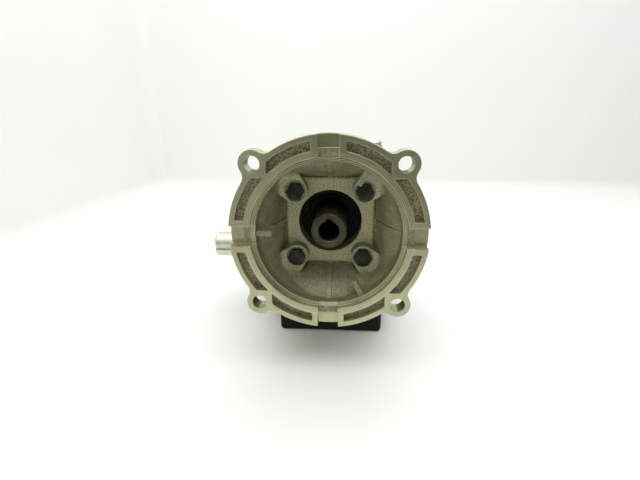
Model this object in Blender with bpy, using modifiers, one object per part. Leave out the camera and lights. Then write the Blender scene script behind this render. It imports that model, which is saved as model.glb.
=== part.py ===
"""A right-angle worm gear reducer with a round motor flange, a hollow keyed input and a keyed output shaft.

Metres, +Z up. The origin is the middle of the base's underside, below the point where the two shafts cross in
plan. The input's axis runs along Y, with the motor flange at -Y; the output's runs along X, with its shaft at -X.
"""

import math

import bmesh
import bpy
from mathutils import Matrix, Vector

MM = 0.001
GAP = 0.3 * MM  # left between two pieces that touch
MERGE = 0.01 * MM
FINE = 48  # sides of a large round piece
PLAIN = 32
COARSE = 20
BOLT_SIDES = 10

# Shafts and gears.
CENTRE_DISTANCE = 44.45 * MM
WORM_Z = 114.4 * MM
OUTPUT_Z = WORM_Z - CENTRE_DISTANCE
WHEEL_TEETH = 20
MODULE = 3.175 * MM
PRESSURE = math.radians(20)
PITCH = math.pi * MODULE
WHEEL_PITCH_R = WHEEL_TEETH * MODULE / 2
WORM_PITCH_R = CENTRE_DISTANCE - WHEEL_PITCH_R
THREAD_TURNS = 3.5
THREAD_SUNK = 1 * MM  # how far the thread starts below the root
BACKLASH = 0.8 * MM  # taken off the thickness of each tooth and of the thread
TIP_CLEARANCE = 0.25 * MODULE
TIP_R = WHEEL_PITCH_R + MODULE
ROOT_R = WHEEL_PITCH_R - MODULE - TIP_CLEARANCE
WORM_TIP_R = WORM_PITCH_R + MODULE
WORM_ROOT_R = WORM_PITCH_R - MODULE - TIP_CLEARANCE
RIM_HALF = 10 * MM
HUB_HALF = 13 * MM
RIM_BORE_R = 22 * MM

# Housing.
HOUSING_HALF_X = 48.5 * MM
HOUSING_HALF_Y = 50.8 * MM
HOUSING_TOP = 160 * MM
HOUSING_EDGE = 4 * MM
CHAMBER_HALF_X = 40.5 * MM
CHAMBER_HALF_Y = 38.5 * MM
CHAMBER_LOW = 14 * MM
CHAMBER_HIGH = 150 * MM
SIDE_BORE_R = 38 * MM
FRONT_BOSS = (27 * MM, -42 * MM, -31.5 * MM)  # radius and two stations on the worm's axis
REAR_BOSS = (29 * MM, 34 * MM, 42 * MM)
REAR_BORE_R = 23.8 * MM
# Radius and station of the front bore: the bearing's seat, a neck, and the oil seal's seat.
FRONT_BORE = (
    (0.0, -30 * MM),
    (21.3 * MM, -30 * MM),
    (21.3 * MM, -42.8 * MM),
    (17.5 * MM, -42.8 * MM),
    (17.5 * MM, -43.8 * MM),
    (20.3 * MM, -43.8 * MM),
    (20.3 * MM, -60 * MM),
    (0.0, -60 * MM),
)
IN_WALL = 35 * MM  # a station inside the chamber, on either axis
THREAD_END = 39 * MM
OUT_OF_WALL = 60 * MM
FLANGE_THREAD_R = 4.27 * MM
BASE_HOLE_X = 34 * MM
BASE_HOLE_Y = 38 * MM
BASE_HOLE_R = 3.4 * MM
BASE_HOLE_DEEP = 10 * MM

# Motor flange, measured back from its front face.
FLANGE_FACE_Y = -112 * MM
BEHIND_PLATE = 56 * MM  # how deep the towers, the plate and the ribs reach into the bell's back wall
DEEPER = 70 * MM  # past the flange's back
PROUD = 5 * MM  # how far a cutter starts outside the face that it cuts
RIM_R = 73.1 * MM
RIM_THICK = 12.5 * MM
BOLT_CIRCLE_R = 149.225 * MM / 2
EAR_R = 9.8 * MM
EAR_FILLET_R = 7 * MM
EAR_HOLE_R = 5.55 * MM
PILOT_R = 57.15 * MM
PILOT_DEEP = 4.5 * MM
WALL_R = 54.3 * MM
BARREL_R = 61 * MM
PLATE_HALF = 36 * MM
PLATE_CORNER_R = 14 * MM
PLATE_FACE = 46 * MM
# Depth, half width and corner radius of the bell's square inside, which flares out to the round wall.
WELL_SECTIONS = (
    (3 * MM, 57 * MM, 24 * MM),
    (12.5 * MM, 57 * MM, 24 * MM),
    (18 * MM, 50.3 * MM, 23 * MM),
    (23 * MM, 45.6 * MM, 20 * MM),
    (30 * MM, 42.6 * MM, 15 * MM),
    (36 * MM, 41.3 * MM, 15.5 * MM),
    (46 * MM, 39 * MM, 11 * MM),
    (53 * MM, 38 * MM, 9 * MM),
)
# The same of its outside, from the round barrel to the square end that the housing meets.
BARREL_SECTIONS = (
    (6 * MM, 61 * MM, 61 * MM),
    (22 * MM, 60.5 * MM, 60 * MM),
    (32 * MM, 54 * MM, 38 * MM),
    (42 * MM, 48.5 * MM, 22 * MM),
    (50 * MM, 46.5 * MM, 17 * MM),
    (60 * MM, 46 * MM, 16 * MM),
)
FLANGE_BORE_R = 26.3 * MM
WELL_MIDDLE = 30 * MM
POCKET_IN_R = 62.6 * MM
POCKET_OUT_R = 69.2 * MM
POCKET_DEEP = 6 * MM
POCKET_NEAR_END = 12.2 * MM
POCKET_FAR_END = 43 * MM
NOTCH_HALF = 7.9 * MM
NOTCH_DEEP = 7.5 * MM
NOTCH_STEP_R = 63 * MM
NOTCH_STEP_HALF = 7.4 * MM
NOTCH_STEP_DEEP = 6 * MM
TAB_ANGLES = (60, 180, 300)
TAB_THICK = 4.3 * MM
TAB_IN_R = 42.5 * MM
TAB_FACE = 8 * MM
TAB_LONG = 9 * MM
TAB_ROOT = 2 * MM  # how far a tab runs into the bell's wall
TOWER_AT = 27.24 * MM
TOWER_NOSE_R = 9.3 * MM
TOWER_OUT_R = 55 * MM
TOWER_FACE = 36 * MM
TOWER_BACK = 55 * MM
TOWER_FLARE = math.radians(15)
TOWER_FOOT = 12.9 * MM  # half width of a tower where it enters the wall
TOWER_HOLE_R = 4.4 * MM
FLOOR_RIB_THICK = 4 * MM
FLOOR_RIB_FACE = 47.5 * MM
FLOOR_RIB_END = 42 * MM

# Input shaft.
QUILL_END_Y = -95.6 * MM
QUILL_R = 13.65 * MM
QUILL_BORE_R = 15.875 * MM / 2
QUILL_BORE_END_Y = -41 * MM
QUILL_KEYWAY = 4.76 * MM
QUILL_KEYWAY_TOP = 10.05 * MM
# Radius and station of the worm shaft, from its rear end to the quill.
WORM_SHAFT = (
    (0.0, 50.3 * MM),
    (9 * MM, 50.3 * MM),
    (10 * MM, 49.3 * MM),
    (10 * MM, 35.5 * MM),
    (12.5 * MM, 35.5 * MM),
    (12.5 * MM, 31 * MM),
    (WORM_ROOT_R, 27 * MM),
    (WORM_ROOT_R, -26 * MM),
    (14.5 * MM, -27.5 * MM),
    (14.5 * MM, -31.2 * MM),
    (12.5 * MM, -31.2 * MM),
    (12.5 * MM, -43.2 * MM),
    (QUILL_R, -44 * MM),
    (QUILL_R, QUILL_END_Y + 0.8 * MM),
    (QUILL_R - 0.8 * MM, QUILL_END_Y),
    (0.0, QUILL_END_Y),
)

# Output shaft.
SHAFT_END_X = -120.5 * MM
SHAFT_R = 12.7 * MM
SHAFT_STEP_X = -66.5 * MM
SHAFT_KEYWAY = 6.35 * MM
SHAFT_KEYWAY_DEEP = 3.6 * MM
SHAFT_KEYWAY_LONG = 48 * MM
WHEEL_SEAT_R = 16 * MM
KEY_WIDE = 8 * MM
KEY_HIGH = 7 * MM
KEY_LONG = 20 * MM
KEY_TOP_AT = 19.6 * MM  # the key's outer face, from the output axis
HUB_KEYWAY_AT = 19.9 * MM
OUTPUT_SEAT_R = 15 * MM
SHOULDER_R = 20 * MM
SHOULDER_X = 13.3 * MM
BEARING_INNER_X = 33.6 * MM
# Radius and station of the output shaft, from its right end to its keyed end.
OUTPUT_SHAFT = (
    (0.0, 49.5 * MM),
    (OUTPUT_SEAT_R - 1 * MM, 49.5 * MM),
    (OUTPUT_SEAT_R, 48.5 * MM),
    (OUTPUT_SEAT_R, BEARING_INNER_X),
    (WHEEL_SEAT_R, BEARING_INNER_X),
    (WHEEL_SEAT_R, -SHOULDER_X),
    (SHOULDER_R, -SHOULDER_X),
    (SHOULDER_R, -BEARING_INNER_X),
    (OUTPUT_SEAT_R, -BEARING_INNER_X),
    (OUTPUT_SEAT_R, SHAFT_STEP_X + 1 * MM),
    (SHAFT_R, SHAFT_STEP_X),
    (SHAFT_R, SHAFT_END_X + 1.5 * MM),
    (SHAFT_R - 1.5 * MM, SHAFT_END_X),
    (0.0, SHAFT_END_X),
)

# Gaskets and covers. A cover starts this far out from the face it is bolted to.
GASKET = 0.6 * MM
FLANGE_GASKET_R = 46 * MM
COVER_OFF = GASKET + 2 * GAP
SIDE_COVER_R = 48.5 * MM
SIDE_COVER_THICK = 9 * MM
SIDE_BOLT_CIRCLE_R = 43.5 * MM
REAR_COVER_R = 34 * MM
REAR_COVER_THICK = 7 * MM
REAR_BOLT_CIRCLE_R = 29 * MM
REAR_HOLE_R = 2.8 * MM
SIDE_HOLE_R = 3.4 * MM
REAR_SPIGOT_R = 23.4 * MM
REAR_RECESS_R = 20 * MM
COVER_EDGE = 1 * MM
# Radius and how far out from the cover's face: the left cover's boss with its seal seat.
LEFT_BOSS = (
    (19 * MM, 5.5 * MM),
    (22.8 * MM, 5.5 * MM),
    (22.8 * MM, 15 * MM),
    (28 * MM, 15 * MM),
    (31 * MM, SIDE_COVER_THICK),
)
LEFT_NECK_R = 19 * MM
RIGHT_RECESS_R = 22 * MM
RIGHT_RECESS_AT = 3 * MM
SPIGOT_R = 37.7 * MM
SPIGOT_END = 33.6 * MM
BEARING_SEAT_R = 31.3 * MM

# Bolts: shank radius, length under the head, across flats and head height.
FLANGE_BOLT = (3.97 * MM, 36 * MM, 12.7 * MM, 5.3 * MM)
SIDE_BOLT = (3.1 * MM, 16.5 * MM, 11.1 * MM, 4.4 * MM)
REAR_BOLT = (2.5 * MM, 14 * MM, 9.5 * MM, 3.8 * MM)

# Bearings: bore radius, outer radius, half width, ball radius, balls, and the middle's place on the axis.
SIDE_BEARING = (15 * MM, 31 * MM, 8 * MM, 4.3 * MM, 7)
SIDE_BEARING_X = 41.9 * MM
FRONT_BEARING = (12.5 * MM, 21 * MM, 5.5 * MM, 2.2 * MM, 7)
FRONT_BEARING_Y = -37 * MM
REAR_BEARING = (10 * MM, 23.5 * MM, 7 * MM, 3.4 * MM, 7)
REAR_BEARING_Y = 42.8 * MM
RING_SHARE = 0.29  # a ring's thickness, of the whole from bore to outside
GROOVE_SHARE = 0.75  # half width of the ball groove, of the ball's radius
WEB_SHARE = 0.35  # half thickness of the cage, of the ball's radius
RACE_CLEAR = 0.35 * MM

# Oil seals.
SEAL_WEB = 1.6 * MM
SEAL_LIP = 1.2 * MM
SEAL_LIP_HIGH = 1.5 * MM
OUTPUT_SEAL = (OUTPUT_SEAT_R + GAP, 22.5 * MM, -64 * MM, -56 * MM)
INPUT_SEAL = (QUILL_R + GAP, 20 * MM, -50.4 * MM, -44.1 * MM)  # inner and outer radius, back, mouth

# Plugs.
VENT_AT = (37.5 * MM, -17 * MM)
VENT_THREAD_R = 5.1 * MM
VENT_FLATS = 14.3 * MM
VENT_HEX_HIGH = 7 * MM
# Radius and height over the housing's top: the vent's cap, its neck and its thread.
VENT_OUTLINE = (
    (0.0, 17.5 * MM),
    (4.5 * MM, 17.2 * MM),
    (7 * MM, 15.2 * MM),
    (7.4 * MM, 9.5 * MM),
    (4.2 * MM, 8.6 * MM),
    (4.2 * MM, 6 * MM),
    (4.8 * MM, 3 * MM),
    (4.8 * MM, -9 * MM),
    (0.0, -9 * MM),
)
PLUG_THREAD_R = 6.6 * MM
PLUG_R = 6.3 * MM
PLUG_DEEP = 10 * MM
PLUG_FLATS = 15.9 * MM
PLUG_HIGH = 6.5 * MM
LEVEL_PLUG_AT = (27 * MM, 66 * MM)
DRAIN_PLUG_AT = (0.0, 24 * MM)

FINISHES = {
    "slate_paint": ((0.045, 0.052, 0.05), 0.45, 0.0),
    "cast_aluminium": ((0.42, 0.40, 0.34), 0.5, 0.8),
    "bright_steel": ((0.62, 0.62, 0.60), 0.25, 1.0),
    "ground_steel": ((0.30, 0.30, 0.28), 0.35, 1.0),
    "black_oxide": ((0.03, 0.032, 0.034), 0.4, 0.8),
    "bearing_steel": ((0.66, 0.67, 0.68), 0.18, 1.0),
    "gear_bronze": ((0.55, 0.36, 0.13), 0.35, 1.0),
    "cast_iron": ((0.12, 0.12, 0.12), 0.6, 0.6),
    "gasket_fibre": ((0.10, 0.16, 0.12), 0.9, 0.0),
    "seal_rubber": ((0.02, 0.02, 0.02), 0.55, 0.0),
    "zinc_plate": ((0.70, 0.70, 0.64), 0.3, 1.0),
}


def clear_scene():
    for obj in list(bpy.data.objects):
        bpy.data.objects.remove(obj, do_unlink=True)


def new_collection(name):
    collection = bpy.data.collections.new(name)
    bpy.context.scene.collection.children.link(collection)
    return collection


def finish_material(name):
    """The Principled material of one finish, made the first time that it is asked for."""
    if name in bpy.data.materials:
        return bpy.data.materials[name]
    colour, roughness, metallic = FINISHES[name]
    material = bpy.data.materials.new(name)
    material.use_nodes = True
    shader = material.node_tree.nodes["Principled BSDF"]
    shader.inputs["Base Color"].default_value = (*colour, 1.0)
    shader.inputs["Roughness"].default_value = roughness
    shader.inputs["Metallic"].default_value = metallic
    return material


def empty_at(name, location, turn, holder):
    empty = bpy.data.objects.new(name, None)
    empty.location = location
    empty.rotation_euler = turn
    holder.objects.link(empty)
    return empty


def place(name, mesh, parent, finish):
    """An object of the reducer with its finish, or a cutter where the finish is None."""
    obj = bpy.data.objects.new(name, mesh)
    obj.parent = parent
    if finish is None:
        cutters.objects.link(obj)
        obj.hide_render = True
        obj.display_type = "WIRE"
        return obj
    reducer.objects.link(obj)
    mesh.materials.clear()
    mesh.materials.append(finish_material(finish))
    mesh.set_sharp_from_angle(angle=math.radians(35))
    return obj


def mesh_from(bm, name):
    mesh = bpy.data.meshes.new(name)
    bm.to_mesh(mesh)
    bm.free()
    mesh.shade_smooth()
    return mesh


def turned(name, outline, parent, finish=None, steps=FINE):
    """A body turned about the parent's Z from (radius, station) points.

    The points run down the outer side from the high end and, in a ring, back up the inner side. An outline that
    starts on the axis also ends on it.
    """
    bm = bmesh.new()
    corners = [bm.verts.new((radius, 0.0, station)) for radius, station in outline]
    for first, second in zip(corners, corners[1:]):
        bm.edges.new((first, second))
    if outline[0][0] > 0.0:
        bm.edges.new((corners[-1], corners[0]))
    obj = place(name, mesh_from(bm, name), parent, finish)
    screw = obj.modifiers.new("Turn", "SCREW")
    screw.steps = steps
    screw.render_steps = steps
    screw.use_merge_vertices = True
    screw.merge_threshold = MERGE
    return obj


def ring(name, inner, outer, low, high, parent, finish=None, steps=FINE):
    outline = [(outer, high), (outer, low), (inner, low), (inner, high)]
    return turned(name, outline, parent, finish, steps)


def rod(name, radius, low, high, parent, finish=None, steps=COARSE, offset=(0.0, 0.0)):
    """A plain cylinder beside the parent's Z."""
    bm = bmesh.new()
    middle = Matrix.Translation((offset[0], offset[1], (low + high) / 2))
    bmesh.ops.create_cone(
        bm, cap_ends=True, segments=steps, radius1=radius, radius2=radius, depth=high - low, matrix=middle
    )
    return place(name, mesh_from(bm, name), parent, finish)


def box(name, low, high, parent, finish=None, turn=None, edge=0.0):
    """A box between two corners, its edges rounded where edge is given, then turned about the parent's Z."""
    low = Vector(low)
    high = Vector(high)
    bm = bmesh.new()
    bmesh.ops.create_cube(bm, size=1.0)
    bmesh.ops.scale(bm, vec=high - low, verts=bm.verts)
    bmesh.ops.translate(bm, vec=(low + high) / 2, verts=bm.verts)
    if turn is not None:
        bmesh.ops.rotate(bm, cent=(0, 0, 0), matrix=Matrix.Rotation(turn, 3, "Z"), verts=bm.verts)
    obj = place(name, mesh_from(bm, name), parent, finish)
    if edge > 0.0:
        bevel = obj.modifiers.new("Edges", "BEVEL")
        bevel.width = edge
        bevel.segments = 2
    return obj


def plate(name, outline, low, high, parent, finish=None):
    """A flat outline in the parent's XY plane, given thickness along Z."""
    curve = bpy.data.curves.new(name, "CURVE")
    curve.dimensions = "2D"
    curve.fill_mode = "BOTH"
    curve.extrude = (high - low) / 2
    spline = curve.splines.new("POLY")
    spline.points.add(len(outline) - 1)
    for point, (x, y) in zip(spline.points, outline):
        point.co = (x, y, 0.0, 1.0)
    spline.use_cyclic_u = True
    guide = bpy.data.objects.new(name + "_guide", curve)
    bpy.context.scene.collection.objects.link(guide)
    graph = bpy.context.evaluated_depsgraph_get()
    flat = bpy.data.meshes.new_from_object(guide.evaluated_get(graph))
    bpy.data.objects.remove(guide)
    bm = bmesh.new()
    bm.from_mesh(flat)
    bpy.data.meshes.remove(flat)
    bmesh.ops.remove_doubles(bm, verts=bm.verts, dist=MERGE / 10)
    bmesh.ops.translate(bm, vec=(0, 0, (low + high) / 2), verts=bm.verts)
    bmesh.ops.recalc_face_normals(bm, faces=bm.faces)
    return place(name, mesh_from(bm, name), parent, finish)


def combine(body, other, operation):
    boolean = body.modifiers.new(other.name, "BOOLEAN")
    boolean.operation = operation
    boolean.solver = "EXACT"
    boolean.object = other


def cut(body, *others):
    for other in others:
        combine(body, other, "DIFFERENCE")


def join(body, *others):
    for other in others:
        combine(body, other, "UNION")


def arc(centre, radius, start, end, steps):
    """Points on an arc, both ends included."""
    points = []
    for step in range(steps + 1):
        angle = start + (end - start) * step / steps
        points.append((centre[0] + radius * math.cos(angle), centre[1] + radius * math.sin(angle)))
    return points


def turned_points(points, angle):
    cosine = math.cos(angle)
    sine = math.sin(angle)
    return [(x * cosine - y * sine, x * sine + y * cosine) for x, y in points]


# Motor flange.


def flange_outline():
    """The rim with its four ears, each run into the rim by a fillet on both sides."""
    to_rim = RIM_R + EAR_FILLET_R
    to_ear = EAR_R + EAR_FILLET_R
    swing = math.acos((to_rim**2 + BOLT_CIRCLE_R**2 - to_ear**2) / (2 * to_rim * BOLT_CIRCLE_R))
    fillet = (to_rim * math.cos(swing), to_rim * math.sin(swing))
    at_ear = math.atan2(fillet[1], fillet[0] - BOLT_CIRCLE_R)
    quarter = math.pi / 2
    one_ear = arc((BOLT_CIRCLE_R, 0.0), EAR_R, -at_ear, at_ear, 9)
    run_in = arc(fillet, EAR_FILLET_R, at_ear - math.pi, swing - math.pi, 4)[1:]
    rim = arc((0.0, 0.0), RIM_R, swing, quarter - swing, 12)[1:]
    next_fillet = (fillet[1], fillet[0])
    run_out = arc(next_fillet, EAR_FILLET_R, -quarter - swing, -at_ear - quarter, 4)[1:-1]
    points = []
    for corner in range(4):
        points += turned_points(one_ear + run_in + rim + run_out, quarter * (corner + 0.5))
    return points


def pocket_outline(corner, across):
    """One cast pocket, its two ends parallel to the notch beside it; across swaps it over the ear's diagonal."""

    def at_end(radius, end):
        return math.acos(end / radius)

    near = POCKET_NEAR_END
    far = POCKET_FAR_END
    points = arc((0.0, 0.0), POCKET_IN_R, at_end(POCKET_IN_R, far), at_end(POCKET_IN_R, near), 5)
    points += arc((0.0, 0.0), POCKET_OUT_R, at_end(POCKET_OUT_R, near), at_end(POCKET_OUT_R, far), 5)
    if across:
        points = [(y, x) for x, y in points]
    return turned_points(points, math.pi / 2 * corner)


def tower_outline(corner):
    """A bolt tower: a round nose towards the axis and two flaring sides that run into the bell's wall."""
    middle = TOWER_AT * math.sqrt(2)
    reach = math.sqrt(TOWER_OUT_R**2 - (TOWER_FOOT) ** 2) - middle
    spread = reach * math.tan(TOWER_FLARE)
    lean = math.pi / 2 + TOWER_FLARE
    points = arc((middle, 0.0), TOWER_NOSE_R, lean, 2 * math.pi - lean, 8)
    foot_y = TOWER_NOSE_R / math.cos(TOWER_FLARE) + spread
    points += [(middle + reach, -foot_y), (TOWER_OUT_R, 0.0), (middle + reach, foot_y)]
    return turned_points(points, math.pi / 2 * (corner + 0.5))


def rounded_square(half, radius):
    points = []
    for corner in range(4):
        start = corner * math.pi / 2
        points += turned_points(arc((half - radius, half - radius), radius, 0.0, math.pi / 2, 4), start)
    return points


def square_reach(angle, half, radius):
    """How far a rounded square reaches from its middle at this angle."""
    angle = abs((angle + math.pi / 4) % (math.pi / 2) - math.pi / 4)
    flat = half / math.cos(angle)
    middle = half - radius
    if flat * math.sin(angle) <= middle:
        return flat
    along = middle * (math.cos(angle) + math.sin(angle))
    return along + math.sqrt(along**2 - 2 * middle**2 + radius**2)


def square_loft(name, sections, widest, parent):
    """A body lofted through rounded squares at their depths, none of it wider than the widest radius."""
    bm = bmesh.new()
    loops = []
    for depth, half, radius in sections:
        corners = []
        for step in range(FINE):
            angle = 2 * math.pi * step / FINE
            reach = min(widest, square_reach(angle, half, radius))
            corners.append(bm.verts.new((reach * math.cos(angle), reach * math.sin(angle), -depth)))
        edges = [bm.edges.new((corners[step - 1], corners[step])) for step in range(FINE)]
        if loops:
            bmesh.ops.bridge_loops(bm, edges=loops[-1] + edges)
        loops.append(edges)
    for edges in (loops[0], loops[-1]):
        bmesh.ops.contextual_create(bm, geom=edges)
    bmesh.ops.triangulate(bm, faces=bm.faces)
    bmesh.ops.recalc_face_normals(bm, faces=bm.faces)
    return place(name, mesh_from(bm, name), parent, None)


def bell(parent):
    """The flange's outside, then its turned and cast inside."""
    flange = plate("motor_flange", flange_outline(), -RIM_THICK, 0.0, parent, "cast_aluminium")
    join(flange, square_loft("bell_barrel", BARREL_SECTIONS, BARREL_R, parent))
    cut(flange, rod("bell_pilot", PILOT_R, -PILOT_DEEP, PROUD, parent, steps=FINE))
    cut(flange, square_loft("bell_well", WELL_SECTIONS, WALL_R, parent))
    return flange


def bell_inside(flange, parent):
    square = rounded_square(PLATE_HALF, PLATE_CORNER_R)
    join(flange, plate("bell_plate", square, -BEHIND_PLATE, -PLATE_FACE, parent))
    for corner in range(4):
        tower = plate(f"bell_tower_{corner}", tower_outline(corner), -TOWER_BACK, -TOWER_FACE, parent)
        join(flange, tower)
        start = (PLATE_HALF - FLOOR_RIB_THICK, -FLOOR_RIB_THICK / 2, -TOWER_BACK)
        end = (FLOOR_RIB_END, FLOOR_RIB_THICK / 2, -FLOOR_RIB_FACE)
        join(flange, box(f"bell_rib_{corner}", start, end, parent, turn=corner * math.pi / 2))
    for number, angle in enumerate(TAB_ANGLES):
        start = (TAB_IN_R, -TAB_THICK / 2, -TAB_FACE - TAB_LONG)
        end = (WALL_R + TAB_ROOT, TAB_THICK / 2, -TAB_FACE)
        join(flange, box(f"bell_tab_{number}", start, end, parent, turn=math.radians(angle)))


def bell_holes(flange, parent):
    cut(flange, rod("bell_bore", FLANGE_BORE_R, -DEEPER, -WELL_MIDDLE, parent, steps=FINE))
    for corner in range(4):
        angle = math.pi / 2 * (corner + 0.5)
        ear = (BOLT_CIRCLE_R * math.cos(angle), BOLT_CIRCLE_R * math.sin(angle))
        tower = (TOWER_AT * math.sqrt(2) * math.cos(angle), TOWER_AT * math.sqrt(2) * math.sin(angle))
        cut(flange, rod(f"ear_hole_{corner}", EAR_HOLE_R, -WELL_MIDDLE, PROUD, parent, offset=ear))
        cut(flange, rod(f"tower_hole_{corner}", TOWER_HOLE_R, -DEEPER, -WELL_MIDDLE, parent, offset=tower))
        for across in (False, True):
            name = f"pocket_{corner}_{int(across)}"
            cut(flange, plate(name, pocket_outline(corner, across), -POCKET_DEEP, PROUD, parent))
        turn = corner * math.pi / 2
        outer_low = (NOTCH_STEP_R, -NOTCH_HALF, -NOTCH_DEEP)
        outer_high = (RIM_R + PROUD, NOTCH_HALF, PROUD)
        inner_low = (WALL_R - PROUD, -NOTCH_STEP_HALF, -NOTCH_STEP_DEEP)
        inner_high = (NOTCH_STEP_R + 2 * MM, NOTCH_STEP_HALF, PROUD - 1 * MM)
        cut(flange, box(f"notch_{corner}", outer_low, outer_high, parent, turn=turn))
        cut(flange, box(f"notch_step_{corner}", inner_low, inner_high, parent, turn=turn))


def motor_flange():
    parent = empty_at("flange_face", (0, FLANGE_FACE_Y, WORM_Z), (math.pi / 2, 0, 0), reducer)
    flange = bell(parent)
    bell_inside(flange, parent)
    bell_holes(flange, parent)


# Housing.


def housing():
    parent = empty_at("housing_base", (0, 0, 0), (0, 0, 0), reducer)
    low = (-HOUSING_HALF_X, -HOUSING_HALF_Y, 0.0)
    high = (HOUSING_HALF_X, HOUSING_HALF_Y, HOUSING_TOP)
    body = box("housing", low, high, parent, "slate_paint", edge=HOUSING_EDGE)
    inside_low = (-CHAMBER_HALF_X, -CHAMBER_HALF_Y, CHAMBER_LOW)
    inside_high = (CHAMBER_HALF_X, CHAMBER_HALF_Y, CHAMBER_HIGH)
    cut(body, box("chamber", inside_low, inside_high, parent))
    join(body, rod("front_boss", *FRONT_BOSS, worm_axis))
    join(body, rod("rear_boss", *REAR_BOSS, worm_axis, steps=PLAIN))
    housing_bores(body)
    housing_holes(body, parent)


def housing_bores(body):
    cut(body, turned("front_bore", FRONT_BORE, worm_axis, steps=COARSE))
    cut(body, rod("rear_bore", REAR_BORE_R, REAR_BOSS[1] - PROUD, OUT_OF_WALL, worm_axis, steps=PLAIN))
    for name, side in (("left_bore", -1), ("right_bore", 1)):
        near, far = sorted((side * IN_WALL, side * OUT_OF_WALL))
        cut(body, rod(name, SIDE_BORE_R, near, far, output_axis, steps=PLAIN))


def housing_holes(body, parent):
    """Threaded holes for the flange, the covers, the plugs and the feet, as plain bores."""

    def thread(name, radius, station, axis, at, steps=BOLT_SIDES):
        low, high = sorted((station, math.copysign(OUT_OF_WALL, station)))
        cut(body, rod(name, radius, low, high, axis, offset=at, steps=steps))

    side_half = SIDE_BOLT_CIRCLE_R / math.sqrt(2)
    rear_half = REAR_BOLT_CIRCLE_R / math.sqrt(2)
    for number, (across, up) in enumerate(corners_of(1.0)):
        thread(f"flange_thread_{number}", FLANGE_THREAD_R, -IN_WALL, worm_axis, (across * TOWER_AT, up * TOWER_AT))
        thread(f"rear_thread_{number}", REAR_HOLE_R, THREAD_END, worm_axis, (across * rear_half, up * rear_half))
        side = (across * side_half, up * side_half)
        thread(f"left_thread_{number}", SIDE_HOLE_R, -THREAD_END, output_axis, side)
        thread(f"right_thread_{number}", SIDE_HOLE_R, THREAD_END, output_axis, side)
        base = (across * BASE_HOLE_X, up * BASE_HOLE_Y)
        cut(body, rod(f"base_hole_{number}", BASE_HOLE_R, -PROUD, BASE_HOLE_DEEP, parent, offset=base, steps=16))
    low = CHAMBER_HIGH - PROUD
    high = HOUSING_TOP + PROUD
    cut(body, rod("vent_thread", VENT_THREAD_R, low, high, parent, offset=VENT_AT, steps=16))
    for name, (x, z) in (("level_thread", LEVEL_PLUG_AT), ("drain_thread", DRAIN_PLUG_AT)):
        thread(name, PLUG_THREAD_R, IN_WALL, worm_axis, (x, WORM_Z - z), steps=16)


def corners_of(half):
    return [(half, half), (-half, half), (-half, -half), (half, -half)]


# Bolts and plugs.


def finished(obj):
    """The object's mesh with its modifiers worked in; the object and its cutters' use of it end here."""
    graph = bpy.context.evaluated_depsgraph_get()
    mesh = bpy.data.meshes.new_from_object(obj.evaluated_get(graph))
    bpy.data.objects.remove(obj)
    return mesh


def bolt_mesh(name, shank_r, long, across_flats, head_high):
    """A hexagon bolt, its head's underside at zero and its shank down -Z."""
    shank = rod(name, shank_r, -long, head_high / 2, None, steps=BOLT_SIDES)
    bm = bmesh.new()
    corner = across_flats / math.sqrt(3)
    turn = Matrix.Translation((0, 0, head_high / 2)) @ Matrix.Rotation(math.pi / 6, 4, "Z")
    bmesh.ops.create_cone(
        bm, cap_ends=True, segments=6, radius1=corner, radius2=corner, depth=head_high, matrix=turn
    )
    head = place(name + "_head", mesh_from(bm, name + "_head"), None, None)
    join(head, shank)
    mesh = finished(head)
    bpy.data.objects.remove(shank)
    return mesh


def bolt_set(stem, mesh, pattern_half, seat, parent, flip):
    """Four bolts on a square, on the parent's Z; flip turns their heads towards -Z."""
    for number, (across, up) in enumerate(corners_of(pattern_half), 1):
        bolt = place(f"{stem}_{number}", mesh, parent, "black_oxide")
        bolt.location = (across, up, seat)
        if flip:
            bolt.rotation_euler = (math.pi, 0, 0)


def all_bolts():
    flange_bolt = bolt_mesh("flange_bolt", *FLANGE_BOLT)
    tower_y = FLANGE_FACE_Y + TOWER_FACE - GAP
    bolt_set("flange_bolt", flange_bolt, TOWER_AT, tower_y, worm_axis, True)
    side_bolt = bolt_mesh("side_cover_bolt", *SIDE_BOLT)
    side_half = SIDE_BOLT_CIRCLE_R / math.sqrt(2)
    side_x = HOUSING_HALF_X + COVER_OFF + SIDE_COVER_THICK + GAP
    bolt_set("left_cover_bolt", side_bolt, side_half, -side_x, output_axis, True)
    bolt_set("right_cover_bolt", side_bolt, side_half, side_x, output_axis, False)
    rear_bolt = bolt_mesh("rear_cover_bolt", *REAR_BOLT)
    rear_half = REAR_BOLT_CIRCLE_R / math.sqrt(2)
    rear_y = HOUSING_HALF_Y + COVER_OFF + REAR_COVER_THICK + GAP
    bolt_set("rear_cover_bolt", rear_bolt, rear_half, rear_y, worm_axis, False)


def plugs():
    vent_parent = empty_at("vent_axis", (*VENT_AT, HOUSING_TOP), (0, 0, 0), reducer)
    vent = turned("vent_plug", VENT_OUTLINE, vent_parent, "zinc_plate", steps=COARSE)
    join(vent, hexagon("vent_hex", VENT_FLATS, GAP, VENT_HEX_HIGH, vent_parent))
    for name, (x, z) in (("level_plug", LEVEL_PLUG_AT), ("drain_plug", DRAIN_PLUG_AT)):
        parent = empty_at(name + "_axis", (x, HOUSING_HALF_Y, z), (-math.pi / 2, 0, 0), reducer)
        plug = rod(name, PLUG_R, -PLUG_DEEP, PLUG_HIGH / 2, parent, "zinc_plate", steps=16)
        join(plug, hexagon(name + "_hex", PLUG_FLATS, GAP, PLUG_HIGH, parent))


def hexagon(name, across_flats, low, high, parent):
    bm = bmesh.new()
    corner = across_flats / math.sqrt(3)
    middle = Matrix.Translation((0, 0, (low + high) / 2))
    bmesh.ops.create_cone(
        bm, cap_ends=True, segments=6, radius1=corner, radius2=corner, depth=high - low, matrix=middle
    )
    return place(name, mesh_from(bm, name), parent, None)


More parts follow.
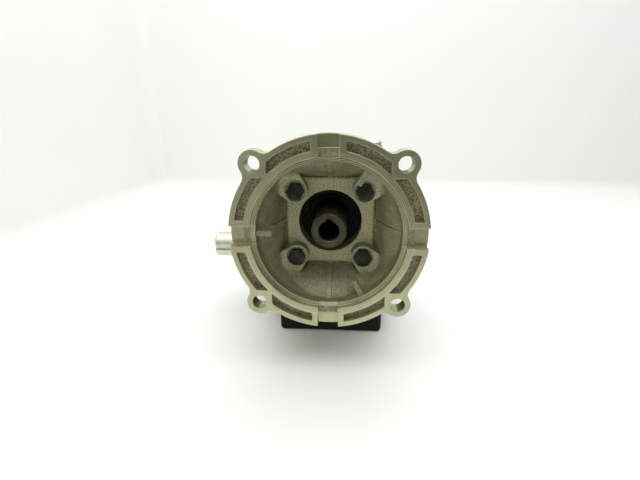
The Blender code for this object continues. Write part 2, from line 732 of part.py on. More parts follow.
# Bearings and seals.


def bearing(stem, sizes, middle, parent):
    """A ball bearing as its outer ring, its inner ring, and its balls held in their cage."""
    bore, outside, half, ball_r, balls = sizes
    ball_circle = (bore + outside) / 2
    wall = (outside - bore) * RING_SHARE
    race_half = ball_r * GROOVE_SHARE
    race = ball_r + RACE_CLEAR
    low = middle - half
    high = middle + half
    outer_in = outside - wall
    outer_outline = [
        (outside, high),
        (outside, low),
        (outer_in, low),
        (outer_in, middle - race_half),
        (ball_circle + race, middle),
        (outer_in, middle + race_half),
        (outer_in, high),
    ]
    turned(f"{stem}_outer_ring", outer_outline, parent, "bearing_steel", COARSE)
    bore += GAP
    inner_out = bore + wall - GAP
    inner_outline = [
        (inner_out, high),
        (inner_out, middle + race_half),
        (ball_circle - race, middle),
        (inner_out, middle - race_half),
        (inner_out, low),
        (bore, low),
        (bore, high),
    ]
    turned(f"{stem}_inner_ring", inner_outline, parent, "bearing_steel", COARSE)
    web = ball_r * WEB_SHARE
    cage = ring(
        f"{stem}_cage", ball_circle - web, ball_circle + web, middle - web, middle + web, parent, "gear_bronze", COARSE
    )
    bm = bmesh.new()
    for ball in range(balls):
        angle = 2 * math.pi * ball / balls
        at = Matrix.Rotation(angle, 4, "Z") @ Matrix.Translation((ball_circle, 0, middle))
        bmesh.ops.create_uvsphere(bm, u_segments=8, v_segments=4, radius=ball_r, matrix=at)
    join(cage, place(f"{stem}_balls", mesh_from(bm, f"{stem}_balls"), parent, None))


def oil_seal(name, inner, outer, back, mouth, parent):
    """A lip seal: a flat web at its back, a case round the outside and a lip that meets the shaft half way in."""
    inward = math.copysign(1.0, mouth - back)
    web = back + SEAL_WEB * inward
    middle = (back + mouth) / 2
    lip = inner + SEAL_LIP
    case = outer - SEAL_WEB
    outline = [
        (outer, back),
        (lip + SEAL_LIP_HIGH, back),
        (inner, middle),
        (lip, middle + SEAL_LIP_HIGH * inward),
        (lip + SEAL_LIP_HIGH, web),
        (case, web),
        (case, mouth),
        (outer, mouth),
    ]
    if inward < 0:
        outline.reverse()
    turned(name, outline, parent, "seal_rubber", COARSE)


# Input side.


def input_shaft():
    shaft = turned("input_worm_shaft", WORM_SHAFT, worm_axis, "ground_steel", COARSE)
    join(shaft, worm_thread())
    cut(shaft, rod("quill_cutter", QUILL_BORE_R, QUILL_END_Y - PROUD, QUILL_BORE_END_Y, worm_axis))
    half = QUILL_KEYWAY / 2
    keyway_low = (-half, -QUILL_KEYWAY_TOP, QUILL_END_Y - PROUD)
    keyway_high = (half, 0.0, QUILL_BORE_END_Y - 2 * MM)
    cut(shaft, box("quill_keyway", keyway_low, keyway_high, worm_axis))


def worm_thread():
    """One right-hand thread, in step with a tooth space of the wheel below the worm's middle."""
    half = (PITCH / 2 - BACKLASH) / 2
    tip_half = half - MODULE * math.tan(PRESSURE)
    deep = WORM_PITCH_R - WORM_ROOT_R + THREAD_SUNK
    foot_half = half + deep * math.tan(PRESSURE)
    foot_r = WORM_ROOT_R - THREAD_SUNK
    steps_a_turn = COARSE
    steps = int(THREAD_TURNS * steps_a_turn)
    bm = bmesh.new()
    section = [(foot_r, -foot_half), (foot_r, foot_half), (WORM_TIP_R, tip_half), (WORM_TIP_R, -tip_half)]
    half_step = math.pi / steps_a_turn
    start = PITCH * (half_step / (2 * math.pi) - THREAD_TURNS / 2)
    corners = [bm.verts.new((-radius, 0.0, start + along)) for radius, along in section]
    face = bm.faces.new(corners)
    bmesh.ops.rotate(bm, cent=(0, 0, 0), matrix=Matrix.Rotation(half_step, 3, "Z"), verts=corners)
    bmesh.ops.spin(
        bm,
        geom=[face],
        cent=(0, 0, 0),
        axis=(0, 0, 1),
        dvec=(0, 0, PITCH / steps_a_turn),
        angle=2 * math.pi * THREAD_TURNS,
        steps=steps,
    )
    bmesh.ops.recalc_face_normals(bm, faces=bm.faces)
    return place("thread", mesh_from(bm, "thread"), worm_axis, None)


def input_small_parts():
    oil_seal("input_oil_seal", *INPUT_SEAL, worm_axis)
    bearing("front_worm_bearing", FRONT_BEARING, FRONT_BEARING_Y, worm_axis)
    bearing("rear_worm_bearing", REAR_BEARING, REAR_BEARING_Y, worm_axis)
    gasket = ring(
        "flange_gasket",
        FLANGE_BORE_R,
        FLANGE_GASKET_R,
        -HOUSING_HALF_Y - GAP - GASKET,
        -HOUSING_HALF_Y - GAP,
        worm_axis,
        "gasket_fibre",
        PLAIN,
    )
    for number, at in enumerate(corners_of(TOWER_AT)):
        cut(gasket, rod(f"gasket_hole_{number}", TOWER_HOLE_R, -OUT_OF_WALL, -IN_WALL, worm_axis, offset=at, steps=BOLT_SIDES))


def rear_cover():
    face = HOUSING_HALF_Y + COVER_OFF
    outline = [
        (0.0, face + REAR_COVER_THICK),
        (REAR_COVER_R - COVER_EDGE, face + REAR_COVER_THICK),
        (REAR_COVER_R, face + REAR_COVER_THICK - COVER_EDGE),
        (REAR_COVER_R, face),
        (REAR_SPIGOT_R, face),
        (REAR_SPIGOT_R, REAR_BEARING_Y + REAR_BEARING[2] + GAP),
        (REAR_RECESS_R, REAR_BEARING_Y + REAR_BEARING[2] + GAP),
        (REAR_RECESS_R, face),
        (0.0, face),
    ]
    cover = turned("rear_cover", outline, worm_axis, "slate_paint", PLAIN)
    gasket_low = HOUSING_HALF_Y + GAP
    gasket = ring(
        "rear_cover_gasket", REAR_BORE_R, REAR_COVER_R, gasket_low, gasket_low + GASKET, worm_axis, "gasket_fibre", PLAIN
    )
    for number, at in enumerate(corners_of(REAR_BOLT_CIRCLE_R / math.sqrt(2))):
        hole = rod(f"rear_hole_{number}", REAR_HOLE_R, THREAD_END, DEEPER, worm_axis, offset=at, steps=BOLT_SIDES)
        cut(cover, hole)
        cut(gasket, hole)


# Output side.


def wheel_outline():
    """Involute teeth on the wheel, with a tooth space on the far side from the parent's +X."""
    base_r = WHEEL_PITCH_R * math.cos(PRESSURE)
    pitch_half = (PITCH / 2 - BACKLASH) / 2 / WHEEL_PITCH_R
    roll = math.tan(PRESSURE) - PRESSURE

    def half_angle(radius):
        slope = math.acos(base_r / max(radius, base_r))
        return pitch_half + roll - (math.tan(slope) - slope)

    radii = (ROOT_R, base_r, WHEEL_PITCH_R, WHEEL_PITCH_R + MODULE / 2, TIP_R)
    flank = [(radius, half_angle(radius)) for radius in radii]
    tooth = [(radius, -angle) for radius, angle in flank] + flank[::-1]
    points = []
    for number in range(WHEEL_TEETH):
        middle = 2 * math.pi * (number + 0.5) / WHEEL_TEETH
        points += [(r * math.cos(middle + a), r * math.sin(middle + a)) for r, a in tooth]
    return points


def worm_wheel():
    """The bronze rim, its teeth twisted to lie along the worm's thread."""
    lead_slope = PITCH / (2 * math.pi * WORM_PITCH_R)
    slices = 2
    slice_turn = 2 * RIM_HALF * lead_slope / WHEEL_PITCH_R / slices
    bm = bmesh.new()
    outline = wheel_outline()
    face = bm.faces.new([bm.verts.new((x, y, -RIM_HALF)) for x, y in outline])
    first_turn = Matrix.Rotation(-slice_turn * slices / 2, 3, "Z")
    bmesh.ops.rotate(bm, cent=(0, 0, 0), matrix=first_turn, verts=bm.verts)
    for number in range(slices):
        grown = bmesh.ops.extrude_face_region(bm, geom=[face])["geom"]
        if number > 0:
            bmesh.ops.delete(bm, geom=[face], context="FACES_ONLY")
        corners = [item for item in grown if isinstance(item, bmesh.types.BMVert)]
        face = next(item for item in grown if isinstance(item, bmesh.types.BMFace))
        bmesh.ops.translate(bm, vec=(0, 0, 2 * RIM_HALF / slices), verts=corners)
        bmesh.ops.rotate(bm, cent=(0, 0, 0), matrix=Matrix.Rotation(slice_turn, 3, "Z"), verts=corners)
    bmesh.ops.recalc_face_normals(bm, faces=bm.faces)
    rim = place("worm_wheel_rim", mesh_from(bm, "worm_wheel_rim"), output_axis, "gear_bronze")
    cut(rim, rod("rim_bore", RIM_BORE_R, -20 * MM, 20 * MM, output_axis, steps=PLAIN))


def wheel_hub():
    bore = WHEEL_SEAT_R + GAP
    hub = ring("wheel_hub", bore, RIM_BORE_R - GAP, -HUB_HALF, HUB_HALF, output_axis, "cast_iron", PLAIN)
    half = KEY_WIDE / 2 + GAP
    keyway_low = (-HUB_KEYWAY_AT, -half, -2 * HUB_HALF)
    keyway_high = (0.0, half, 2 * HUB_HALF)
    cut(hub, box("hub_keyway", keyway_low, keyway_high, output_axis))
    key_half = KEY_LONG / 2
    key_low = (-KEY_TOP_AT, -KEY_WIDE / 2, -key_half)
    key_high = (-KEY_TOP_AT + KEY_HIGH, KEY_WIDE / 2, key_half)
    box("wheel_key", key_low, key_high, output_axis, "bright_steel")
    ring("wheel_spacer", bore, SHOULDER_R, SHOULDER_X, BEARING_INNER_X, output_axis, "ground_steel", COARSE)


def output_shaft():
    shaft = turned("output_shaft", OUTPUT_SHAFT, output_axis, "bright_steel", 24)
    half = SHAFT_KEYWAY / 2
    keyway_low = (-half, -SHAFT_R - PROUD, SHAFT_END_X - PROUD)
    keyway_high = (half, -SHAFT_R + SHAFT_KEYWAY_DEEP, SHAFT_END_X + SHAFT_KEYWAY_LONG)
    cut(shaft, box("shaft_keyway", keyway_low, keyway_high, output_axis))
    wide = KEY_WIDE / 2 + GAP
    seat = KEY_LONG / 2 + GAP
    seat_low = (-KEY_TOP_AT - PROUD, -wide, -seat)
    seat_high = (-KEY_TOP_AT + KEY_HIGH + GAP, wide, seat)
    cut(shaft, box("key_seat", seat_low, seat_high, output_axis))


def side_cover_outline(side):
    """Stations grow outwards from the housing's middle; the left cover's outline is turned over at the end."""
    face = HOUSING_HALF_X + COVER_OFF
    seat_end = SIDE_BEARING_X + SIDE_BEARING[2] + GAP
    outer = face + SIDE_COVER_THICK
    outline = [(SIDE_COVER_R - COVER_EDGE, outer), (SIDE_COVER_R, outer - COVER_EDGE), (SIDE_COVER_R, face)]
    outline += [(SPIGOT_R, face), (SPIGOT_R, SPIGOT_END), (BEARING_SEAT_R, SPIGOT_END), (BEARING_SEAT_R, seat_end)]
    if side > 0:
        recess = face + RIGHT_RECESS_AT
        return [(0.0, outer)] + outline + [(RIGHT_RECESS_R, seat_end), (RIGHT_RECESS_R, recess), (0.0, recess)]
    outline += [(LEFT_NECK_R, seat_end)] + [(radius, face + out) for radius, out in LEFT_BOSS]
    return [(radius, -station) for radius, station in outline][::-1]


def side_cover(name, side):
    """A bearing carrier; the left one, where side is -1, lets the shaft out through a seal."""
    cover = turned(name, side_cover_outline(side), output_axis, "slate_paint", PLAIN)
    low, high = sorted((side * (HOUSING_HALF_X + GAP), side * (HOUSING_HALF_X + GAP + GASKET)))
    gasket = ring(f"{name}_gasket", SIDE_BORE_R, SIDE_COVER_R, low, high, output_axis, "gasket_fibre", PLAIN)
    for number, at in enumerate(corners_of(SIDE_BOLT_CIRCLE_R / math.sqrt(2))):
        near, far = sorted((side * THREAD_END, side * DEEPER))
        hole = rod(f"{name}_hole_{number}", SIDE_HOLE_R, near, far, output_axis, offset=at, steps=BOLT_SIDES)
        cut(cover, hole)
        cut(gasket, hole)


def output_small_parts():
    bearing("left_output_bearing", SIDE_BEARING, -SIDE_BEARING_X, output_axis)
    bearing("right_output_bearing", SIDE_BEARING, SIDE_BEARING_X, output_axis)
    oil_seal("output_oil_seal", *OUTPUT_SEAL, output_axis)


clear_scene()
reducer = new_collection("worm_gear_reducer")
cutters = new_collection("cutters")
cutters.hide_render = True
worm_axis = empty_at("worm_axis", (0, 0, WORM_Z), (-math.pi / 2, 0, 0), reducer)
output_axis = empty_at("output_axis", (0, 0, OUTPUT_Z), (0, math.pi / 2, 0), reducer)
motor_flange()
housing()
input_shaft()
input_small_parts()
rear_cover()
output_shaft()
worm_wheel()
wheel_hub()
output_small_parts()
side_cover("left_cover", -1)
side_cover("right_cover", 1)
all_bolts()
plugs()
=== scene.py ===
import math

import bmesh
import bpy
from mathutils import Matrix, Vector


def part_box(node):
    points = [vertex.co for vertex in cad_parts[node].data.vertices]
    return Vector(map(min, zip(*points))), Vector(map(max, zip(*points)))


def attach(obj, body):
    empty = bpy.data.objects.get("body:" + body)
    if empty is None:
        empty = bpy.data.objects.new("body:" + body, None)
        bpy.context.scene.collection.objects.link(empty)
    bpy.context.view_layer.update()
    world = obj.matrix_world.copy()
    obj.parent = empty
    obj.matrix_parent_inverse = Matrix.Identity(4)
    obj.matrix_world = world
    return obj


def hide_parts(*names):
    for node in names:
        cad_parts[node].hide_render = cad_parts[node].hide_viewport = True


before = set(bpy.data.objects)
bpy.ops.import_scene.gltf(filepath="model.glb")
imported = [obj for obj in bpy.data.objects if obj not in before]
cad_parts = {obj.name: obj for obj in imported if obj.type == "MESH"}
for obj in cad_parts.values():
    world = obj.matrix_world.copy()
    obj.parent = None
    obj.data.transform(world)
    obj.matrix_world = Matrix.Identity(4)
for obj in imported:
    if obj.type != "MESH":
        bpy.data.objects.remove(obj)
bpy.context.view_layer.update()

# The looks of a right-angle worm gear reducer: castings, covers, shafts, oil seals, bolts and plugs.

MM = 0.001
TURN = 2 * math.pi
QUARTER = math.pi / 2
# Sides of a turned piece, from large to small.
FINE = 144
PLAIN = 72
SMALL = 40
HOLE = 32
MERGE = 0.001 * MM
SMOOTH_BELOW = math.radians(34)
ROUND_ABOVE = 57.3  # degrees between the faces of an end's edge
CLEAR = 5 * MM  # how far a cutting tool stands clear of the face that it enters

# Places, all from the frame.
flange_low, flange_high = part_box("motor_flange")
shaft_low, shaft_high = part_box("output_shaft")
worm_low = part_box("input_worm_shaft")[0]
housing_low, housing_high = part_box("housing")
FACE_Y = flange_low.y
WORM_Z = (flange_low.z + flange_high.z) / 2
OUTPUT_Z = (shaft_low.z + shaft_high.z) / 2
ON_FLANGE = Matrix.Translation((0, FACE_Y, WORM_Z)) @ Matrix.Rotation(QUARTER, 4, "X")
ON_WORM = Matrix.Translation((0, 0, WORM_Z)) @ Matrix.Rotation(-QUARTER, 4, "X")
ON_OUTPUT = Matrix.Translation((0, 0, OUTPUT_Z)) @ Matrix.Rotation(QUARTER, 4, "Y")

# Camera and setting.
CAMERA_AT = (0.01064, -0.3731, 0.20047)
CAMERA_TURN = (71.507, 0.243, 3.519)
CAMERA_LENS = 21.43
CAMERA_SENSOR = 36.0
BACK_WALL_Y = 0.69
LEFT_WALL_X = -0.515
ROOM_RIGHT = 1.6
ROOM_FRONT = -1.5
ROOM_HIGH = 1.5
ROOM_CORNER = 0.03
CARD_HALF = 1.4
CARD_NEAR_Y = -0.36
CARD_FAR_Y = -1.2
CARD_LOW = 0.004
CARD_HIGH = 1.25
LIGHT_AT = (0.1, -0.1, 1.35)
LIGHT_SIZE = (1.7, 1.5)
LIGHT_POWER = 20.5
ROOM_LIGHT = (0.97, 1.0, 0.95, 1.0)
ROOM_LIGHT_POWER = 0.40

# Motor flange, measured back from its face.
RIM_R = 73.1 * MM
RIM_THICK = 12.5 * MM
RIM_EDGE = 0.25 * MM
RIM_BACK_EDGE = 0.8 * MM
BOLT_CIRCLE_R = 149.225 * MM / 2
EAR_R = 9.8 * MM
EAR_FILLET_R = 7 * MM
EAR_HOLE_R = 5.55 * MM
WALL_R = 54.3 * MM
BARREL_R = 61 * MM
LOFT_EASE = 1.6 * MM
WELL_SIDES = 288
PLATE_HALF = 36.8 * MM
PLATE_CORNER_R = 13 * MM
PLATE_FACE = 46 * MM
PLATE_EDGE = 2.4 * MM
BEHIND_PLATE = 57 * MM
BORE_R = 26.3 * MM
BORE_FROM = 30 * MM
BEHIND_FLANGE = 70 * MM
# Depth, half width and corner radius of the square inside, and of the outside.
WELL = (
    (3 * MM, 62 * MM, 24 * MM),
    (9 * MM, 57.5 * MM, 24 * MM),
    (13 * MM, 54.6 * MM, 24 * MM),
    (18 * MM, 50.6 * MM, 23 * MM),
    (23 * MM, 47.4 * MM, 20 * MM),
    (28 * MM, 44.8 * MM, 17.5 * MM),
    (33 * MM, 42.7 * MM, 16 * MM),
    (38 * MM, 40.9 * MM, 15 * MM),
    (43 * MM, 39.2 * MM, 14 * MM),
    (47 * MM, 37.9 * MM, 13 * MM),
    (49.4 * MM, 35.5 * MM, 12 * MM),
)
BARREL = (
    (6 * MM, 61 * MM, 61 * MM),
    (14 * MM, 61 * MM, 61 * MM),
    (22 * MM, 60.5 * MM, 59 * MM),
    (32 * MM, 54 * MM, 38 * MM),
    (42 * MM, 48.5 * MM, 22 * MM),
    (50 * MM, 46.5 * MM, 17 * MM),
    (60 * MM, 46 * MM, 16 * MM),
)
POCKET_IN_R = 62.6 * MM
POCKET_OUT_R = 69.2 * MM
POCKET_DEEP = 5.6 * MM
POCKET_NEAR_END = 12.2 * MM
POCKET_FAR_END = 43 * MM
POCKET_FOOT = 0.9 * MM
POCKET_CORNER = 1.1 * MM
NOTCH_HALF = 7.9 * MM
NOTCH_DEEP = 7.5 * MM
NOTCH_STEP_R = 63 * MM
NOTCH_STEP_HALF = 7.4 * MM
NOTCH_STEP_DEEP = 6 * MM
NOTCH_EDGE = 0.65 * MM
NOTCH_OUT_R = 80 * MM
TAB_ANGLES = (60, 180, 297.5)
TAB_THICK = 4.3 * MM
TAB_IN_R = 42.5 * MM
TAB_FACE = 8 * MM
TAB_LONG = 9 * MM
CAST_EDGE = 0.7 * MM
TOWER_AT = 27.24 * MM
TOWER_NOSE_R = 9.3 * MM
TOWER_TOP = 34 * MM
TOWER_SEAT = 36 * MM
TOWER_SEAT_R = 8.3 * MM
TOWER_HOLE_R = 4.4 * MM
TOWER_FLARE = math.radians(15)
TOWER_OUT_R = 55 * MM
TOWER_FOOT = 12.9 * MM
RIB_THICK = 4.2 * MM
RIB_PROUD = 0.9 * MM
RIB_SUNK = 3 * MM
RIB_EDGE = 0.35 * MM
STRIP_THICK = 5.4 * MM
STRIP_ACROSS = 18.7 * MM
# Radius and station of the turned register, its mouth chamfered.
REGISTER = (
    (0.0, 5 * MM),
    (62.75 * MM, 5 * MM),
    (57.15 * MM, -0.6 * MM),
    (57.15 * MM, -4.5 * MM),
    (0.0, -4.5 * MM),
)

# Housing, its covers and holes.
CHAMBER_LOW = (-40.5 * MM, -38.5 * MM, 14 * MM)
CHAMBER_HIGH = (40.5 * MM, 38.5 * MM, 150 * MM)
CHAMBER_EDGE = 4 * MM
HOUSING_EDGE = 3 * MM
HOUSING_CORNER = 4 * MM
SIDE_BORE_R = 38 * MM
# Radius and two ends of the front and the rear boss.
FRONT_BOSS = (27 * MM, -42 * MM, -31.5 * MM)
REAR_BOSS = (29 * MM, 34 * MM, 42 * MM)
REAR_BORE_R = 23.8 * MM
REAR_BORE_FROM = 29 * MM
# Radius and station of the front bore: the bearing's seat, a neck, and the oil seal's seat.
FRONT_BORE = (
    (0.0, -30 * MM),
    (21.3 * MM, -30 * MM),
    (21.3 * MM, -42.8 * MM),
    (17.5 * MM, -42.8 * MM),
    (17.5 * MM, -43.8 * MM),
    (20.3 * MM, -43.8 * MM),
    (20.3 * MM, -60 * MM),
    (0.0, -60 * MM),
)
IN_WALL = 35 * MM
THREAD_END = 39 * MM
OUT_OF_WALL = 80 * MM
FLANGE_THREAD_R = 4.27 * MM
BASE_HOLE = (34 * MM, 38 * MM, 3.4 * MM, 10 * MM)  # its place across and along, radius and depth
SIDE_BOLT_HALF = 43.5 * MM / math.sqrt(2)
REAR_BOLT_HALF = 29 * MM / math.sqrt(2)
SIDE_HOLE_R = 3.4 * MM
REAR_HOLE_R = 2.8 * MM
PANEL_DEEP = 1.4 * MM
PANEL_CORNER_R = 7 * MM
# Two corners of each panel, in its face's own axes. The left side's panel is the right side's, mirrored.
REAR_PANEL = ((-40 * MM, -77 * MM), (40 * MM, -9 * MM))
SIDE_PANEL = ((-153 * MM, -41 * MM), (-123 * MM, 41 * MM))
TOP_PANEL = ((-40 * MM, -42 * MM), (40 * MM, 42 * MM))
PLUG_BOSS_R = 11.5 * MM
VENT_BOSS_R = 10 * MM
VENT_THREAD_R = 5.1 * MM
VENT_HOLE_TOP = 170 * MM
PLUG_THREAD_R = 6.6 * MM
COVER_OFF = 1.2 * MM
COVER_EDGE = 1 * MM
# A cover's recess: its radius, the radius where its slope ends, and its depth.
REAR_RECESS = (17 * MM, 18.4 * MM, 1.2 * MM)
SIDE_RECESS = (27 * MM, 29 * MM, 1.5 * MM)
# A cover's spigot: its inner and outer radius.
REAR_SPIGOT = (20 * MM, 23.4 * MM)
SIDE_SPIGOT = (31.3 * MM, 37.7 * MM)
SIDE_COVER_THICK = 9 * MM
SIDE_COVER_BACK = 50.2 * MM
RIGHT_HOLLOW = (22 * MM, 3 * MM)
# Radius and how far out from the cover's face of the left cover's boss.
LEFT_BOSS = (
    (19 * MM, 5.5 * MM),
    (22.8 * MM, 5.5 * MM),
    (22.8 * MM, 14.4 * MM),
    (23.4 * MM, 15 * MM),
    (27.2 * MM, 15 * MM),
    (28 * MM, 14.2 * MM),
    (28.7 * MM, 11.6 * MM),
    (29.6 * MM, 10.1 * MM),
    (31 * MM, 9.3 * MM),
    (33 * MM, 9 * MM),
)

# Bolts: shank radius, width across flats, head height and thread pitch.
FLANGE_BOLT = (3.97 * MM, 12.7 * MM, 5.3 * MM, 1.41 * MM)
SIDE_BOLT = (3.1 * MM, 11.1 * MM, 4.4 * MM, 1.27 * MM)
REAR_BOLT = (2.5 * MM, 9.5 * MM, 3.8 * MM, 1.06 * MM)
WASHER_FACE = 0.5 * MM
WASHER_STEP = 0.2 * MM
HEAD_FACE = 0.46  # radius of a head's flat top over its width across flats
HEAD_SLOPE = math.radians(28)
THREAD_DEPTH = 0.5  # of its pitch
TIP_SLOPE = 0.3 * MM
SEAT_GAP = 0.25 * MM  # a head's washer face reaches this far under the CAD head

# Plugs.
PLUG_R = 6.3 * MM
PLUG_FLATS = 15.9 * MM
PLUG_HIGH = 6.5 * MM
PLUG_DEEP = 10 * MM
PLUG_PITCH = 1.4 * MM
PLUG_OFF = 0.1 * MM
VENT_FLATS = 14.3 * MM
VENT_HEX_HIGH = 7 * MM
VENT_OUTLINE = (
    (0.0, 17.4 * MM),
    (3.0 * MM, 17.3 * MM),
    (5.2 * MM, 16.7 * MM),
    (6.6 * MM, 15.5 * MM),
    (7.1 * MM, 14.0 * MM),
    (7.4 * MM, 10.0 * MM),
    (7.1 * MM, 9.3 * MM),
    (4.2 * MM, 8.6 * MM),
    (4.2 * MM, 6 * MM),
    (4.8 * MM, 3 * MM),
    (4.8 * MM, -8 * MM),
    (4.0 * MM, -9 * MM),
    (0.0, -9 * MM),
)

# Worm and quill.
QUILL_R = 13.65 * MM
QUILL_BORE_R = 15.875 * MM / 2
QUILL_BORE_END = -41 * MM
QUILL_KEYWAY = (4.76 * MM, 10.05 * MM)  # its width, and its top's distance from the axis
QUILL_CHAMFER = 0.8 * MM
QUILL_MOUTH = 0.7 * MM
MODULE = 3.175 * MM
PITCH = math.pi * MODULE
PRESSURE = math.radians(20)
BACKLASH = 0.8 * MM
THREAD_TURNS = 3.5
THREAD_SUNK = 1 * MM
THREAD_STEPS = 40
WORM_PITCH_R = 12.7 * MM
WORM_TIP_R = WORM_PITCH_R + MODULE
WORM_ROOT_R = WORM_PITCH_R - 1.25 * MODULE
# Radius and station, from the rear end to the quill's end.
WORM_SHAFT = (
    (0.0, 50.3 * MM),
    (9 * MM, 50.3 * MM),
    (10 * MM, 49.3 * MM),
    (10 * MM, 35.5 * MM),
    (12.5 * MM, 35.5 * MM),
    (12.5 * MM, 31 * MM),
    (WORM_ROOT_R, 27 * MM),
    (WORM_ROOT_R, -26 * MM),
    (14.5 * MM, -27.5 * MM),
    (14.5 * MM, -31.2 * MM),
    (12.5 * MM, -31.2 * MM),
    (12.5 * MM, -43.2 * MM),
    (QUILL_R, -44 * MM),
)

# Output shaft. The keyway and the wheel key's seat have a width, a depth and a length.
SHAFT_R = 12.7 * MM
SHAFT_CHAMFER = 1.5 * MM
SHAFT_KEYWAY = (6.35 * MM, 3.6 * MM, 48 * MM)
KEY_SEAT = (8.6 * MM, 7.3 * MM, 20.6 * MM)
KEY_TOP_AT = 19.6 * MM
# Radius and station, from its right end to its keyed end.
OUTPUT_SHAFT = (
    (0.0, 49.5 * MM),
    (14 * MM, 49.5 * MM),
    (15 * MM, 48.5 * MM),
    (15 * MM, 33.6 * MM),
    (16 * MM, 33.6 * MM),
    (16 * MM, -13.3 * MM),
    (20 * MM, -13.3 * MM),
    (20 * MM, -33.6 * MM),
    (15 * MM, -33.6 * MM),
    (15 * MM, -65.5 * MM),
    (SHAFT_R, -66.5 * MM),
)
# Radius and station of the centre hole, from the shaft's end face.
CENTRE_HOLE = (
    (0.0, -1 * MM),
    (3.4 * MM, -1 * MM),
    (1.2 * MM, 2.6 * MM),
    (1.2 * MM, 5 * MM),
    (0.0, 5.6 * MM),
)

# Oil seals.
SEAL_WEB = 1.6 * MM
SEAL_LIP = 1.2 * MM
SEAL_LIP_HIGH = 1.5 * MM
SEAL_EDGE = 0.4 * MM
SEAL_GROOVE = (0.9 * MM, 0.5 * MM)  # half its width at its mouth and at its floor
# Inner and outer radius, back and mouth.
INPUT_SEAL = (QUILL_R + 0.3 * MM, 20 * MM, -50.4 * MM, -44.1 * MM)
OUTPUT_SEAL = (15.3 * MM, 22.5 * MM, -64 * MM, -56 * MM)


# Shapes. A bmesh is made in its own axes, and placed when it becomes an object.


def placed(bm, name, matrix=None):
    """The shape as an object at the origin, its place in its mesh."""
    bmesh.ops.remove_doubles(bm, verts=bm.verts, dist=MERGE)
    bmesh.ops.recalc_face_normals(bm, faces=bm.faces)
    if matrix is not None:
        bmesh.ops.transform(bm, matrix=matrix, verts=bm.verts)
    bmesh.ops.triangulate(bm, faces=[f for f in bm.faces if len(f.verts) == 4])
    mesh = bpy.data.meshes.new(name)
    bm.to_mesh(mesh)
    bm.free()
    obj = bpy.data.objects.new(name, mesh)
    bpy.context.scene.collection.objects.link(obj)
    return obj


def rounded(bm, edges, width, segments=3):
    bmesh.ops.bevel(
        bm,
        geom=edges,
        offset=width,
        offset_type="OFFSET",
        affect="EDGES",
        segments=segments,
        profile=0.5,
        material=-1,
        clamp_overlap=True,
    )


def sharper(edges, degrees):
    """The edges whose two faces turn by more than this; an edge with one face isn't one of them."""
    return [edge for edge in edges if edge.calc_face_angle(0.0) > math.radians(degrees)]


def prism(outline, low, high, top_edge=0.0, foot_edge=0.0, side_edge=0.0, segments=3):
    """A flat outline given thickness along Z, with its upright, upper and lower edges rounded where asked."""
    bm = bmesh.new()
    face = bm.faces.new([bm.verts.new((x, y, low)) for x, y in outline])
    grown = bmesh.ops.extrude_face_region(bm, geom=[face])["geom"]
    top = [item for item in grown if isinstance(item, bmesh.types.BMVert)]
    bmesh.ops.translate(bm, vec=(0, 0, high - low), verts=top)
    bmesh.ops.recalc_face_normals(bm, faces=bm.faces)

    def lies(edge, height):
        return all(abs(corner.co.z - height) < MERGE for corner in edge.verts)

    if side_edge > 0.0:
        upright = [e for e in bm.edges if not lies(e, low) and not lies(e, high)]
        rounded(bm, sharper(upright, 28), side_edge, segments)
    for height, width in ((high, top_edge), (low, foot_edge)):
        if width > 0.0:
            rounded(bm, sharper([e for e in bm.edges if lies(e, height)], ROUND_ABOVE), width, segments)
    return bm


def block(low, high, edge=0.0, segments=3, upright=None):
    """A box between two corners, all its edges rounded, or first the upright ones more."""
    low = Vector(low)
    high = Vector(high)
    bm = bmesh.new()
    bmesh.ops.create_cube(bm, size=1.0)
    bmesh.ops.scale(bm, vec=high - low, verts=bm.verts)
    bmesh.ops.translate(bm, vec=(low + high) / 2, verts=bm.verts)
    if upright:
        stand = [e for e in bm.edges if abs(e.verts[0].co.z - e.verts[1].co.z) > MERGE]
        rounded(bm, stand, upright, 5)
    if edge > 0.0:
        rounded(bm, sharper(bm.edges, 40), edge, segments)
    return bm


def spun(outline, steps=PLAIN):
    """A body turned about Z from (radius, station) points, closed on the axis or into a ring."""
    bm = bmesh.new()
    corners = [bm.verts.new((radius, 0.0, station)) for radius, station in outline]
    edges = [bm.edges.new(pair) for pair in zip(corners, corners[1:])]
    if outline[0][0] > 0.0:
        edges.append(bm.edges.new((corners[-1], corners[0])))
    bmesh.ops.spin(
        bm,
        geom=corners + edges,
        cent=(0, 0, 0),
        axis=(0, 0, 1),
        angle=TURN,
        steps=steps,
        use_merge=True,
    )
    return bm


def cylinder(radius, low, high, steps=SMALL, at=(0.0, 0.0), edge=0.0):
    bm = bmesh.new()
    middle = Matrix.Translation((at[0], at[1], (low + high) / 2))
    bmesh.ops.create_cone(
        bm, cap_ends=True, segments=steps, radius1=radius, radius2=radius, depth=high - low, matrix=middle
    )
    if edge > 0.0:
        rounded(bm, sharper(bm.edges, ROUND_ABOVE), edge, 2)
    return bm


def arc(centre, radius, start, end, steps):
    points = []
    for step in range(steps + 1):
        angle = start + (end - start) * step / steps
        points.append((centre[0] + radius * math.cos(angle), centre[1] + radius * math.sin(angle)))
    return points


def turned_points(points, angle):
    cosine = math.cos(angle)
    sine = math.sin(angle)
    return [(x * cosine - y * sine, x * sine + y * cosine) for x, y in points]


def corners_of(half):
    return [(half, half), (-half, half), (-half, -half), (half, -half)]


def square_outline(half, radius, steps=6):
    points = []
    for corner in range(4):
        quarter = arc((half - radius, half - radius), radius, 0.0, QUARTER, steps)
        points += turned_points(quarter, corner * QUARTER)
    return points


